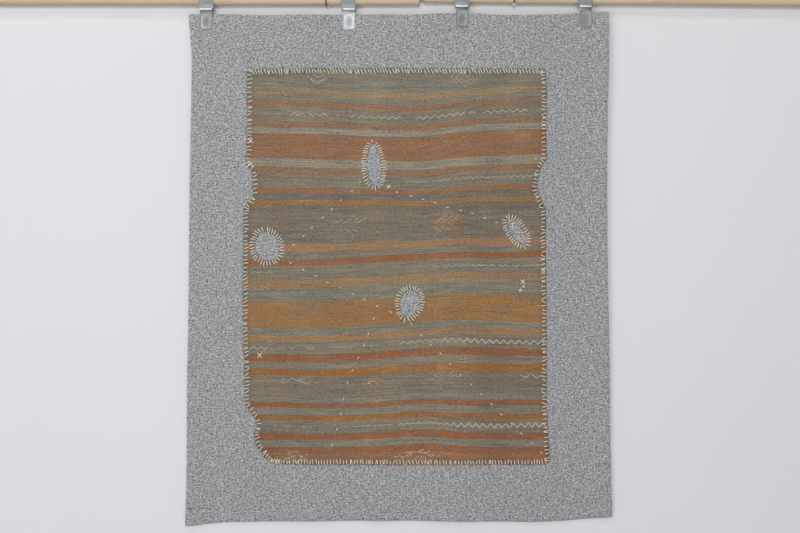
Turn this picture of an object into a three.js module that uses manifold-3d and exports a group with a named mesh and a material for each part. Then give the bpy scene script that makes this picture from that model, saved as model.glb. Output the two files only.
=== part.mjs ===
// A worn striped flat-woven rug, whip-stitched onto a wider grey cloth that frames it.
// The cloth hangs face on from four steel clips on a round pine pole.
// Millimetres, +Z up. The front faces -Y. The origin is on the pole's axis, halfway along it.
import * as THREE from "three";
import { mergeVertices } from "three/addons/utils/BufferGeometryUtils.js";
import Module from "manifold-3d";

const wasm = await Module();
wasm.setup();

// Clearance between neighbouring pieces
const SEAT_GAP = 0.3;

// Pole
const POLE_RADIUS = 17.5;
const POLE_HALF_LENGTH = 900;
const POLE_SIDES = 40;
const LEFT_POLE_END = 42;
const RIGHT_POLE_END = 53;
const RIGHT_POLE_STEP_UP = 5.8;
const RIGHT_POLE_FALL = THREE.MathUtils.degToRad(0.6);
const POLE_END_ROUNDING = 2.5;
const JOINER_RADIUS = 9.5;
const JOINER_REACH = 35;
const LOOP_WIRE_RADIUS = 1.4;
const LOOP_WIRE_SIDES = 8;
const LEFT_LOOP_X = -162;
const RIGHT_LOOP_X = 251;

// Cloth
const BACKING_THICKNESS = 1.6;
const RUG_THICKNESS = 2;
const BACKING_FRONT = -BACKING_THICKNESS / 2;
const BACKING_BACK = BACKING_THICKNESS / 2;
const RUG_BACK = BACKING_FRONT - SEAT_GAP;
const RUG_FRONT = RUG_BACK - RUG_THICKNESS;
const CLOTH_PITCH_ACROSS = 40;
const CLOTH_PITCH_DOWN = 58;
const CLOTH_EDGE_STEPS = 3;
const CLOTH_LEFT = -480;
const CLOTH_RIGHT = 480;
const CLOTH_TOP = -28;
const CLOTH_FOOT = -1172;
const CUTTER_REACH = 40;

// The grey cloth's side edges, a row for each level
const BACKING_SIDES = [
  { z: -90, left: -461, right: 459 },
  { z: -145, left: -458, right: 458.5 },
  { z: -294, left: -460.5, right: 455.5 },
  { z: -426, left: -463, right: 454.5 },
  { z: -580, left: -464, right: 455.5 },
  { z: -734, left: -466, right: 458.5 },
  { z: -888, left: -468.5, right: 460.5 },
  { z: -1000, left: -469, right: 461.5 },
];
// Its top edge, scalloped between the clips, from left to right
const BACKING_TOP = [
  { x: -465, z: -39.5 },
  { x: -380, z: -40 },
  { x: -325, z: -42 },
  { x: -220, z: -41.5 },
  { x: -114, z: -40.5 },
  { x: 10, z: -40.5 },
  { x: 100, z: -37.5 },
  { x: 165, z: -37.5 },
  { x: 250, z: -42 },
  { x: 352, z: -39 },
  { x: 425, z: -34.5 },
  { x: 459.5, z: -34.5 },
];
// Its lower edge, longest at the left corner, from right to left
const BACKING_FOOT = [
  { x: 466, z: -1143 },
  { x: 438, z: -1145 },
  { x: 340, z: -1153 },
  { x: 220, z: -1154 },
  { x: 0, z: -1152 },
  { x: -220, z: -1153 },
  { x: -350, z: -1154 },
  { x: -410, z: -1157 },
  { x: -471, z: -1162 },
];

// The rug's worn outline, from its top left corner clockwise
const RUG_TOP_AND_RIGHT = [
  { x: -334.5, z: -161 },
  { x: -132, z: -160 },
  { x: 220, z: -160 },
  { x: 319.5, z: -162 },
  { x: 321, z: -228 },
  { x: 320.5, z: -360 },
  { x: 314.5, z: -367.5 },
  { x: 306, z: -382 },
  { x: 301, z: -408 },
  { x: 301, z: -426 },
  { x: 306, z: -441 },
  { x: 314.5, z: -456.5 },
  { x: 319, z: -472 },
  { x: 319, z: -595 },
  { x: 321, z: -668 },
  { x: 321, z: -888 },
  { x: 323.5, z: -943 },
  { x: 326.5, z: -987 },
];
const RUG_FOOT_AND_LEFT = [
  { x: 328, z: -1024 },
  { x: 308, z: -1028.5 },
  { x: 0, z: -1029 },
  { x: -279.5, z: -1027.5 },
  { x: -293, z: -1015 },
  { x: -308, z: -998 },
  { x: -317, z: -982 },
  { x: -320, z: -960 },
  { x: -313.5, z: -947 },
  { x: -317, z: -927 },
  { x: -330, z: -910 },
  { x: -340, z: -894 },
  { x: -341, z: -800 },
  { x: -344, z: -734 },
  { x: -344, z: -602 },
  { x: -342.5, z: -465 },
  { x: -326.5, z: -445.5 },
  { x: -322.5, z: -432 },
  { x: -322.5, z: -404 },
  { x: -325, z: -382 },
  { x: -338.5, z: -371 },
  { x: -335.5, z: -338 },
];

// Holes worn through the rug. Lean turns the lower end to the right; a taper above 0 makes the
// upper end pointed, below 0 the lower end.
const HOLES = [
  { x: -57.5, z: -370, width: 34, height: 96, lean: 4, taper: 0.5 },
  { x: -292.5, z: -549, width: 57, height: 69, lean: 14, taper: 0.2 },
  { x: 255.5, z: -517, width: 28, height: 68, lean: 33, taper: 0 },
  { x: 21, z: -676, width: 46, height: 65, lean: -15, taper: -0.3 },
];
const HOLE_SIDES = 20;
// Keeps a tapered hole as wide as its row says
const TAPER_FULLNESS = 0.35;

// Soft upright folds: how far each stands forward at the top and at the foot, its half width,
// and how far it drifts sideways on the way down
const FOLDS = [
  { x: -352, top: 5, foot: 3, spread: 46, drift: 12 },
  { x: -215, top: 6, foot: 4, spread: 58, drift: 10 },
  { x: -35, top: 5, foot: 4, spread: 34, drift: -8 },
  { x: 118, top: 3, foot: 6, spread: 56, drift: 6 },
  { x: 275, top: 6, foot: 3, spread: 50, drift: 20 },
  { x: 452, top: 3, foot: 5, spread: 34, drift: 0 },
];
const CURLED_CORNER = { x: -472, z: -1164, lift: 9, reach: 46 };

// Clips, from left to right: the strap's centre and width, the height of the hinge, the height of
// the pole's axis there, the sideways slip of the jaws and the whole clip's lean
const CLIPS = [
  { x: -425.5, width: 31.5, hinge: -28.5, axis: 0, slip: -0.8, lean: 0.3 },
  { x: -114, width: 32.5, hinge: -28.5, axis: 0, slip: 2, lean: 0 },
  { x: 135.5, width: 32, hinge: -21.8, axis: 4.93, slip: 0.8, lean: 0.6 },
  { x: 406, width: 32.5, hinge: -22.2, axis: 2.1, slip: 2.2, lean: 0.6 },
];
const STEEL_THICKNESS = 1.2;
const STRAP_ARC_STEPS = 22;
const STRAP_LEAVES_POLE = THREE.MathUtils.degToRad(55);
const STRAP_NECK_DEPTH = 21;
const FRONT_LEG_Y = -2.6;
const BACK_LEG_Y = 2;
const ROLL_RADIUS = 2.2;
const ROLL_LENGTH = 26;
const ROLL_SIDES = 16;
const JAW_WIDTH = 27;
const JAW_TOP_DROP = 8;
const JAW_FOOT_DROP = 45;
const JAW_CHAMFER = 3.4;
const JAW_TOP_CHAMFER = 1.6;
const JAW_THICKNESS = 2.4;
const JAW_RIM = 3;
const JAW_RECESS = 1.1;
const LIP_THICKNESS = 1;
const LIP_WIDTH = 22;
const LIP_OVERLAP = 2;
const LIP_BEND_Y = -0.3;
const LIP_BEND_RISE = 2.6;
const LIP_END_Y = -1.9;
const BACK_JAW_BEND_RISE = 3;

// Where the jaws hold the cloth flat, and how far from there it is free to fold again
const JAW_ZONE_HALF_WIDTH = 19;
const JAW_ZONE_FOOT = -80;
const PINCH_FADE_ACROSS = 45;
const PINCH_FADE_DOWN = 110;

const pine = new THREE.MeshStandardMaterial({ color: 0xd5c1a6, roughness: 0.55, metalness: 0 });
const whitePaint = new THREE.MeshStandardMaterial({ color: 0xe4e4e2, roughness: 0.5, metalness: 0 });
const darkWire = new THREE.MeshStandardMaterial({ color: 0x54483a, roughness: 0.5, metalness: 0.6 });
const greyCloth = new THREE.MeshStandardMaterial({ color: 0x989899, roughness: 0.95, metalness: 0 });
const stripedCloth = new THREE.MeshStandardMaterial({ color: 0x9a7a58, roughness: 0.95, metalness: 0 });
const steel = new THREE.MeshStandardMaterial({ color: 0x9a9da0, roughness: 0.35, metalness: 0.9 });

function named(name, geometry, material) {
  const mesh = new THREE.Mesh(geometry, material);
  mesh.name = name;
  return mesh;
}

function toSolid(geometry) {
  const bare = geometry.clone();
  bare.deleteAttribute("normal");
  bare.deleteAttribute("uv");
  const merged = mergeVertices(bare, 1e-4);
  return new wasm.Manifold(
    new wasm.Mesh({
      numProp: 3,
      vertProperties: merged.getAttribute("position").array,
      triVerts: new Uint32Array(merged.index.array),
    }),
  );
}

function toGeometry(solid) {
  const mesh = solid.getMesh();
  const geometry = new THREE.BufferGeometry();
  geometry.setAttribute("position", new THREE.BufferAttribute(mesh.vertProperties, 3));
  geometry.setIndex(new THREE.BufferAttribute(mesh.triVerts, 1));
  geometry.computeVertexNormals();
  return geometry;
}

function shapeOf(points) {
  return new THREE.Shape(points.map((p) => new THREE.Vector2(p.x, p.y)));
}

// A shape drawn face on in X and Z, made thick between two values of Y
function faceOnPrism(points, front, back) {
  const prism = new THREE.ExtrudeGeometry(shapeOf(points), { depth: back - front, bevelEnabled: false });
  return prism.rotateX(Math.PI / 2).translate(0, back, 0);
}

// A shape drawn side on in Y and Z, made as wide as given about X = 0
function sideOnPrism(points, width) {
  const prism = new THREE.ExtrudeGeometry(shapeOf(points), { depth: width, bevelEnabled: false });
  const sideOn = new THREE.Matrix4().makeBasis(
    new THREE.Vector3(0, 1, 0),
    new THREE.Vector3(0, 0, 1),
    new THREE.Vector3(1, 0, 0),
  );
  return prism.applyMatrix4(sideOn).translate(-width / 2, 0, 0);
}

// The closed outline of a bent strip: its centre line offset to both sides, with mitred bends
function stripOutline(centreLine, thickness) {
  const directions = centreLine.slice(1).map((p, i) => p.clone().sub(centreLine[i]).normalize());
  const offsets = centreLine.map((p, i) => {
    const before = directions[Math.max(i - 1, 0)];
    const after = directions[Math.min(i, directions.length - 1)];
    const mitre = before.clone().add(after).normalize();
    const reach = thickness / 2 / mitre.dot(before);
    return new THREE.Vector2(-mitre.y, mitre.x).multiplyScalar(reach);
  });
  const one = centreLine.map((p, i) => p.clone().add(offsets[i]));
  const other = centreLine.map((p, i) => p.clone().sub(offsets[i]));
  return one.concat(other.reverse());
}

// A lathe profile of (radius, distance) rows turned about X
function turned(rows, sides) {
  const profile = rows.map((row) => new THREE.Vector2(row.radius, row.along));
  return new THREE.LatheGeometry(profile, sides).rotateZ(-Math.PI / 2);
}

function poleLength(from, to) {
  const inner = POLE_RADIUS - POLE_END_ROUNDING;
  return turned(
    [
      { radius: 0, along: from },
      { radius: inner, along: from },
      { radius: POLE_RADIUS, along: from + POLE_END_ROUNDING },
      { radius: POLE_RADIUS, along: to - POLE_END_ROUNDING },
      { radius: inner, along: to },
      { radius: 0, along: to },
    ],
    POLE_SIDES,
  );
}

function rod(radius, from, to, sides) {
  const rows = [
    { radius: 0, along: from },
    { radius, along: from },
    { radius, along: to },
    { radius: 0, along: to },
  ];
  return turned(rows, sides);
}

// The blind socket that takes the joiner, drilled at the joiner's height
function socket(from, to) {
  return rod(JOINER_RADIUS + SEAT_GAP, from, to, POLE_SIDES / 2).translate(0, 0, RIGHT_POLE_STEP_UP / 2);
}

function wireLoop() {
  const rows = [];
  const centreRadius = POLE_RADIUS + SEAT_GAP + LOOP_WIRE_RADIUS;
  for (let i = 0; i <= LOOP_WIRE_SIDES; i += 1) {
    const angle = ((i + 0.5) / LOOP_WIRE_SIDES) * 2 * Math.PI;
    rows.push({
      radius: centreRadius + LOOP_WIRE_RADIUS * Math.cos(angle),
      along: LOOP_WIRE_RADIUS * Math.sin(angle),
    });
  }
  return turned(rows, POLE_SIDES);
}

function rightPoleAxisHeight(x) {
  return RIGHT_POLE_STEP_UP - (x - RIGHT_POLE_END) * Math.tan(RIGHT_POLE_FALL);
}

function makePole() {
  const pole = new THREE.Group();
  const leftSocket = socket(LEFT_POLE_END - JOINER_REACH - SEAT_GAP, LEFT_POLE_END + 1);
  const leftSolid = toSolid(poleLength(-POLE_HALF_LENGTH, LEFT_POLE_END)).subtract(toSolid(leftSocket));
  pole.add(named("pole_left", toGeometry(leftSolid), pine));

  const rightLength = poleLength(RIGHT_POLE_END, POLE_HALF_LENGTH);
  rightLength.translate(-RIGHT_POLE_END, 0, 0).rotateY(RIGHT_POLE_FALL);
  rightLength.translate(RIGHT_POLE_END, 0, RIGHT_POLE_STEP_UP);
  const rightSocket = socket(RIGHT_POLE_END - 1, RIGHT_POLE_END + JOINER_REACH + SEAT_GAP);
  const rightSolid = toSolid(rightLength).subtract(toSolid(rightSocket));
  pole.add(named("pole_right", toGeometry(rightSolid), pine));

  const joiner = rod(
    JOINER_RADIUS,
    LEFT_POLE_END - JOINER_REACH,
    RIGHT_POLE_END + JOINER_REACH,
    POLE_SIDES / 2,
  );
  pole.add(named("pole_joiner", joiner.translate(0, 0, RIGHT_POLE_STEP_UP / 2), whitePaint));

  const leftLoop = named("pole_loop_left", wireLoop(), darkWire);
  leftLoop.position.set(LEFT_LOOP_X, 0, 0);
  const rightLoop = named("pole_loop_right", wireLoop(), darkWire);
  rightLoop.position.set(RIGHT_LOOP_X, 0, rightPoleAxisHeight(RIGHT_LOOP_X));
  rightLoop.rotation.y = RIGHT_POLE_FALL;
  pole.add(leftLoop, rightLoop);
  return pole;
}

// 0 where a jaw holds the cloth flat, 1 away from every clip
function freedom(x, z) {
  return CLIPS.reduce((free, clip) => {
    const beside = Math.abs(x - clip.x - clip.slip) - JAW_ZONE_HALF_WIDTH;
    const across = THREE.MathUtils.smoothstep(beside, 0, PINCH_FADE_ACROSS);
    const down = THREE.MathUtils.smoothstep(JAW_ZONE_FOOT - z, 0, PINCH_FADE_DOWN);
    return free * (1 - (1 - across) * (1 - down));
  }, 1);
}

// How far the cloth stands forward of its flat plane
function clothLift(x, z) {
  const fall = THREE.MathUtils.clamp((CLOTH_TOP - z) / (CLOTH_TOP - CLOTH_FOOT), 0, 1);
  const folds = FOLDS.reduce((sum, fold) => {
    const away = (x - fold.x - fold.drift * fall) / fold.spread;
    return sum + THREE.MathUtils.lerp(fold.top, fold.foot, fall) * Math.exp(-away * away);
  }, 0);
  const corner = Math.hypot(x - CURLED_CORNER.x, z - CURLED_CORNER.z) / CURLED_CORNER.reach;
  return folds * freedom(x, z) + CURLED_CORNER.lift * Math.exp(-corner * corner);
}

function evenLines(from, to, pitch) {
  const count = Math.ceil((to - from) / pitch);
  return Array.from({ length: count + 1 }, (_, i) => from + ((to - from) * i) / count);
}

// Both cloths share these lines, so that their facets stay parallel
function clothLines() {
  const jawEdges = CLIPS.flatMap((clip) => {
    const middle = clip.x + clip.slip;
    return [middle - JAW_ZONE_HALF_WIDTH, middle + JAW_ZONE_HALF_WIDTH];
  });
  const even = evenLines(CLOTH_LEFT, CLOTH_RIGHT, CLOTH_PITCH_ACROSS);
  const nearest = CLOTH_PITCH_ACROSS / 3;
  const spaced = even.filter((x) => jawEdges.every((edge) => Math.abs(edge - x) > nearest));
  const across = spaced.concat(jawEdges).sort((a, b) => a - b);
  const belowJaws = evenLines(CLOTH_FOOT, JAW_ZONE_FOOT, CLOTH_PITCH_DOWN).reverse();
  return { across, down: [CLOTH_TOP, ...belowJaws] };
}

// A slab of cloth larger than the piece, bent to the folds, between two depths
function foldedSlab(front, back) {
  const { across, down } = clothLines();
  const columns = across.length;
  const vertices = [];
  [front, back].forEach((depth) => {
    down.forEach((z) => across.forEach((x) => vertices.push(x, depth - clothLift(x, z), z)));
  });
  const at = (side, row, column) => (side * down.length + row) * columns + column;
  const faces = [];
  const quad = (a, b, c, d) => faces.push(a, b, c, a, c, d);
  for (let row = 0; row + 1 < down.length; row += 1) {
    for (let column = 0; column + 1 < columns; column += 1) {
      const [a, b] = [at(0, row, column), at(0, row, column + 1)];
      const [c, d] = [at(0, row + 1, column + 1), at(0, row + 1, column)];
      quad(a, d, c, b);
      const behind = at(1, 0, 0);
      quad(a + behind, b + behind, c + behind, d + behind);
    }
  }
  for (let row = 0; row + 1 < down.length; row += 1) {
    quad(at(0, row, 0), at(1, row, 0), at(1, row + 1, 0), at(0, row + 1, 0));
    const last = columns - 1;
    quad(at(0, row, last), at(0, row + 1, last), at(1, row + 1, last), at(1, row, last));
  }
  for (let column = 0; column + 1 < columns; column += 1) {
    quad(at(0, 0, column), at(0, 0, column + 1), at(1, 0, column + 1), at(1, 0, column));
    const last = down.length - 1;
    quad(at(0, last, column), at(1, last, column), at(1, last, column + 1), at(0, last, column + 1));
  }
  const slab = new THREE.BufferGeometry();
  slab.setAttribute("position", new THREE.Float32BufferAttribute(vertices, 3));
  slab.setIndex(faces);
  return toSolid(slab);
}

function smoothEdge(rows) {
  const curve = new THREE.SplineCurve(rows.map((row) => new THREE.Vector2(row.x, row.z)));
  return curve.getPoints((rows.length - 1) * CLOTH_EDGE_STEPS);
}

function backingOutline() {
  const right = BACKING_SIDES.map((row) => ({ x: row.right, z: row.z }));
  const left = BACKING_SIDES.map((row) => ({ x: row.left, z: row.z })).reverse();
  const [topLeft, topRight] = [BACKING_TOP[0], BACKING_TOP[BACKING_TOP.length - 1]];
  const [footRight, footLeft] = [BACKING_FOOT[0], BACKING_FOOT[BACKING_FOOT.length - 1]];
  const edges = [BACKING_TOP, [topRight, ...right, footRight], BACKING_FOOT, [footLeft, ...left, topLeft]];
  return edges.flatMap((rows) => smoothEdge(rows).slice(0, -1)).reverse();
}

function rugOutline() {
  const rows = RUG_TOP_AND_RIGHT.concat(RUG_FOOT_AND_LEFT);
  return rows.map((row) => new THREE.Vector2(row.x, row.z)).reverse();
}

// One hole's outline: an ellipse whose upper or lower end is drawn out to a point
function holeOutline(hole) {
  const lean = THREE.MathUtils.degToRad(hole.lean);
  return Array.from({ length: HOLE_SIDES }, (_, i) => {
    const turn = ((i + 0.5) / HOLE_SIDES) * 2 * Math.PI;
    const fromTip = hole.taper < 0 ? Math.cos(turn / 2) : Math.sin(turn / 2);
    const narrowing = Math.abs(fromTip) ** Math.abs(hole.taper);
    const fullness = 1 + TAPER_FULLNESS * Math.abs(hole.taper);
    const across = -(hole.width / 2) * Math.sin(turn) * narrowing * fullness;
    const up = (hole.height / 2) * Math.cos(turn);
    return new THREE.Vector2(
      hole.x + across * Math.cos(lean) - up * Math.sin(lean),
      hole.z + up * Math.cos(lean) + across * Math.sin(lean),
    );
  });
}

function cutter(outline) {
  return toSolid(faceOnPrism(outline, -CUTTER_REACH, CUTTER_REACH));
}

function makeCloths() {
  const cloths = new THREE.Group();
  const backing = foldedSlab(BACKING_FRONT, BACKING_BACK).intersect(cutter(backingOutline()));
  cloths.add(named("backing_cloth", toGeometry(backing), greyCloth));
  const whole = foldedSlab(RUG_FRONT, RUG_BACK).intersect(cutter(rugOutline()));
  const rug = HOLES.reduce((cloth, hole) => cloth.subtract(cutter(holeOutline(hole))), whole);
  cloths.add(named("rug", toGeometry(rug), stripedCloth));
  return cloths;
}

// The strap's centre line: up the front leg, over the pole and down the back leg
function strapLine(legFoot) {
  const radius = POLE_RADIUS + SEAT_GAP + STEEL_THICKNESS / 2;
  const line = [new THREE.Vector2(FRONT_LEG_Y, legFoot), new THREE.Vector2(FRONT_LEG_Y, -STRAP_NECK_DEPTH)];
  const start = Math.PI + STRAP_LEAVES_POLE;
  const sweep = start + STRAP_LEAVES_POLE;
  for (let i = 0; i <= STRAP_ARC_STEPS; i += 1) {
    const angle = start - (sweep * i) / STRAP_ARC_STEPS;
    line.push(new THREE.Vector2(radius * Math.cos(angle), radius * Math.sin(angle)));
  }
  line.push(new THREE.Vector2(BACK_LEG_Y, -STRAP_NECK_DEPTH), new THREE.Vector2(BACK_LEG_Y, legFoot));
  return line;
}

function jawOutline(inset, top, foot) {
  const half = JAW_WIDTH / 2 - inset;
  const [high, low] = [top - inset, foot + inset];
  const [upper, lower] = [JAW_TOP_CHAMFER, JAW_CHAMFER];
  return [
    new THREE.Vector2(-half, low + lower),
    new THREE.Vector2(-half + lower, low),
    new THREE.Vector2(half - lower, low),
    new THREE.Vector2(half, low + lower),
    new THREE.Vector2(half, high - upper),
    new THREE.Vector2(half - upper, high),
    new THREE.Vector2(-half + upper, high),
    new THREE.Vector2(-half, high - upper),
  ];
}

// The front jaw: a plate with a raised rim, and a lip bent back and up to the roll
function frontJaw(hinge) {
  const back = BACKING_FRONT - SEAT_GAP;
  const front = back - JAW_THICKNESS;
  const [top, foot] = [hinge - JAW_TOP_DROP, hinge - JAW_FOOT_DROP];
  const plate = toSolid(faceOnPrism(jawOutline(0, top, foot), front, back));
  const recess = toSolid(faceOnPrism(jawOutline(JAW_RIM, top, foot), front - 1, front + JAW_RECESS));
  const lipLine = [
    new THREE.Vector2(back - LIP_THICKNESS, top - LIP_OVERLAP),
    new THREE.Vector2(back - LIP_THICKNESS / 2, top),
    new THREE.Vector2(LIP_BEND_Y, top + LIP_BEND_RISE),
    new THREE.Vector2(LIP_END_Y, hinge - ROLL_RADIUS - SEAT_GAP),
  ];
  const lip = toSolid(sideOnPrism(stripOutline(lipLine, LIP_THICKNESS), LIP_WIDTH));
  return toGeometry(plate.subtract(recess).add(lip));
}

// The back jaw: a flat strip behind the cloth, up to the strap's back leg
function backJaw(hinge, legFoot) {
  const centre = BACKING_BACK + SEAT_GAP + STEEL_THICKNESS / 2;
  const line = [
    new THREE.Vector2(centre, hinge - JAW_FOOT_DROP),
    new THREE.Vector2(centre, hinge - JAW_TOP_DROP),
    new THREE.Vector2(BACK_LEG_Y, hinge - JAW_TOP_DROP + BACK_JAW_BEND_RISE),
    new THREE.Vector2(BACK_LEG_Y, legFoot - SEAT_GAP),
  ];
  return sideOnPrism(stripOutline(line, STEEL_THICKNESS), JAW_WIDTH);
}

function makeClip(clip, number) {
  const group = new THREE.Group();
  group.position.set(clip.x, 0, clip.axis);
  group.rotation.y = THREE.MathUtils.degToRad(clip.lean);
  const hinge = clip.hinge - clip.axis;
  const legFoot = hinge + ROLL_RADIUS + SEAT_GAP;
  const strap = sideOnPrism(stripOutline(strapLine(legFoot), STEEL_THICKNESS), clip.width);
  const roll = rod(ROLL_RADIUS, -ROLL_LENGTH / 2, ROLL_LENGTH / 2, ROLL_SIDES);
  roll.translate(clip.slip, FRONT_LEG_Y, hinge);
  group.add(
    named(`clip_${number}_strap`, strap, steel),
    named(`clip_${number}_roll`, roll, steel),
    named(`clip_${number}_front_jaw`, frontJaw(hinge).translate(clip.slip, 0, 0), steel),
    named(`clip_${number}_back_jaw`, backJaw(hinge, legFoot).translate(clip.slip, 0, 0), steel),
  );
  return group;
}

const hanging = new THREE.Group();
hanging.add(makePole(), makeCloths(), ...CLIPS.map((clip, i) => makeClip(clip, i + 1)));

export default hanging;
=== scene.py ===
"""A worn striped rug, sewn on a wider grey cloth and hung by clips from a pine pole.

Sizes are in metres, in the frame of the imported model: +X along the pole, +Z up, and the front
faces -Y. Depths of the rug's pattern are measured down from the pole's axis.
"""

import math
import random

import bmesh
import bpy
import numpy as np
from bpy.props import FloatProperty, FloatVectorProperty, PointerProperty
from mathutils import Matrix, Vector
from mathutils.geometry import delaunay_2d_cdt


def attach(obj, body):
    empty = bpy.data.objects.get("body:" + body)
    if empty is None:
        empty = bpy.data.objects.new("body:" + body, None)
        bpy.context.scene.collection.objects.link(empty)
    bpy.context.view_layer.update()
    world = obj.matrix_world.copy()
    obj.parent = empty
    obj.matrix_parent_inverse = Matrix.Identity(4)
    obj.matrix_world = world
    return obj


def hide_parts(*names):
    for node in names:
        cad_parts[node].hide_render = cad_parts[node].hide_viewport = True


bl_info = {
    "name": "Hung Striped Rug",
    "version": (1, 0, 0),
    "blender": (4, 5, 0),
    "location": "3D View > Sidebar > Hung Rug",
    "description": "Dresses the packed model of a striped rug that hangs from clips on a pole",
    "category": "Object",
}

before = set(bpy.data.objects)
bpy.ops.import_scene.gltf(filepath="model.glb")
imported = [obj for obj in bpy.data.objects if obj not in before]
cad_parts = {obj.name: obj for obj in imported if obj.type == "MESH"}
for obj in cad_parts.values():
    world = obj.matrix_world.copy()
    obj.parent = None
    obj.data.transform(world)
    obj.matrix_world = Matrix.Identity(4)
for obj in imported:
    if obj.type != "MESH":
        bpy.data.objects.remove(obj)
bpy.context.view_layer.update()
MM = 0.001
FRONT = np.array([0.0, -1.0, 0.0])

# Cloth thicknesses and depths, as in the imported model
BACKING_FRONT, BACKING_BACK = -0.8 * MM, 0.8 * MM
RUG_FRONT, RUG_BACK = -3.1 * MM, -1.1 * MM
CLOTH_TOP, CLOTH_FOOT = -28 * MM, -1172 * MM
# The size to which the grey cloth is cut
BACKING_WIDTH, BACKING_HEIGHT = 0.93, 1.12
# The clear space left between rigid pieces that touch, and between the jaws and the cloth
SEAT_GAP = 0.3 * MM
# How close two measures have to be to count as the same
NEAR = 0.01 * MM

# The grey cloth's edges, in millimetres
BACKING_TOP = np.array([
    (-465, -39.5), (-380, -40), (-325, -42), (-220, -41.5), (-114, -40.5), (10, -40.5),
    (100, -37.5), (165, -37.5), (250, -42), (352, -39), (425, -34.5), (459.5, -34.5),
])
BACKING_FOOT = np.array([
    (-471, -1162), (-410, -1157), (-350, -1154), (-220, -1153), (0, -1152), (220, -1154),
    (340, -1153), (438, -1145), (466, -1143),
])
# Height, left edge and right edge of the grey cloth, in millimetres
BACKING_SIDES = np.array([
    (-1162, -471, 466), (-1000, -469, 461.5), (-888, -468.5, 460.5), (-734, -466, 458.5),
    (-580, -464, 455.5), (-426, -463, 454.5), (-294, -460.5, 455.5), (-145, -458, 458.5),
    (-90, -461, 459), (-36, -465, 459.5),
])
# The rug's worn outline in millimetres, clockwise from its top left corner as seen from the front
RUG_OUTLINE = np.array([
    (-334.5, -161), (-132, -160), (220, -160), (319.5, -162), (321, -228), (320.5, -360),
    (314.5, -367.5), (306, -382), (301, -408), (301, -426), (306, -441), (314.5, -456.5),
    (319, -472), (319, -595), (321, -668), (321, -888), (323.5, -943), (326.5, -987),
    (328, -1024), (308, -1028.5), (0, -1029), (-279.5, -1027.5), (-293, -1015), (-308, -998),
    (-317, -982), (-320, -960), (-313.5, -947), (-317, -927), (-330, -910), (-340, -894),
    (-341, -800), (-344, -734), (-344, -602), (-342.5, -465), (-326.5, -445.5),
    (-322.5, -432), (-322.5, -404), (-325, -382), (-338.5, -371), (-335.5, -338),
])
# A box round the rug, in metres, that is filled with its net of points
RUG_NET = {"left": -0.345, "right": 0.33, "foot": -1.03, "top": -0.158}
# Worn holes in millimetres. A lean is in degrees, to the left at the top, and a taper above 0 points
# a hole's top, one below 0 its foot
HOLES = [
    {"x": -57.5, "z": -370, "width": 35, "height": 95, "lean": 4, "taper": 0.36},
    {"x": -292.5, "z": -549, "width": 57, "height": 69, "lean": 14, "taper": 0.2},
    {"x": 255.5, "z": -517, "width": 28, "height": 68, "lean": 33, "taper": 0},
    {"x": 21, "z": -676, "width": 46, "height": 65, "lean": -15, "taper": -0.3},
]
# Upright folds in millimetres: how far each comes forward at the top and at the foot, half its
# width, and how far it has moved to the right at the foot
FOLDS = [
    {"x": -352, "top": 5, "foot": 3, "spread": 46, "drift": 12},
    {"x": -215, "top": 6, "foot": 4, "spread": 58, "drift": 10},
    {"x": -35, "top": 5, "foot": 4, "spread": 34, "drift": -8},
    {"x": 118, "top": 3, "foot": 6, "spread": 56, "drift": 6},
    {"x": 275, "top": 6, "foot": 3, "spread": 50, "drift": 20},
    {"x": 452, "top": 3, "foot": 5, "spread": 34, "drift": 0},
]
CURLED_CORNER = {"x": -472, "z": -1164, "lift": 9, "reach": 46}
# Where a clip's jaws hold the cloth flat, in millimetres: half the width of the flat zone, the
# height of its foot, and over how much width and height it fades into the folds
HELD_FLAT = {"half_width": 19, "foot": -80, "fade_across": 45, "fade_down": 110}
RIPPLE_HEIGHT = 0.35
# Clips in millimetres: middle and width of the strap, height of the hinge and of the pole's axis,
# how far the jaws stand to the right of the strap, and the whole clip's lean in degrees
CLIPS = [
    {"x": -425.5, "width": 31.5, "hinge": -28.5, "axis": 0.0, "slip": -0.8, "lean": 0.3},
    {"x": -114, "width": 32.5, "hinge": -28.5, "axis": 0.0, "slip": 2.0, "lean": 0.0},
    {"x": 135.5, "width": 32, "hinge": -21.8, "axis": 4.93, "slip": 0.8, "lean": 0.6},
    {"x": 406, "width": 32.5, "hinge": -22.2, "axis": 2.1, "slip": 2.2, "lean": 0.6},
]

# The stripes from the top: each ends at a depth in millimetres and has one dye
STRIPES = [
    (196.9, "dusty_sage"), (211.2, "straw"), (225.5, "sage"), (239.8, "pale_rust"), (271.3, "olive"),
    (284.9, "pale_rust"), (299.2, "pale_sage"), (355.3, "rust"), (372.9, "pale_sage"),
    (386.1, "pale_rust"), (419.1, "olive"), (430.1, "rust"), (445.5, "slate"), (458.7, "ochre"),
    (476.3, "slate"), (544.5, "slate_olive"), (559.9, "pale_ochre"), (575.3, "olive"),
    (590.7, "brick"), (620.4, "olive"), (634.7, "pale_ochre"), (668.8, "sage"), (724.9, "ochre"),
    (741.4, "sage"), (755.7, "pale_ochre"), (783.2, "olive"), (800.8, "brick"), (816.2, "olive"),
    (829.4, "gold"), (878.9, "slate_olive"), (888.8, "sage"), (903.1, "brick"),
    (915.2, "sage"), (929.5, "gold"), (957.0, "olive"), (970.2, "brick"), (986.7, "sage"),
    (1001.0, "brick"), (1045.0, "rust"),
]
# How far the weft bows down, in millimetres, at these places across and these depths
BOW_ACROSS = np.array([-303.6, -220, -132, -44, 44, 88, 132, 220, 303.6])
BOW_DOWN = np.array([188.1, 284.9, 381.7, 478.5, 575.3, 672.1, 768.9, 865.7, 962.5])
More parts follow.
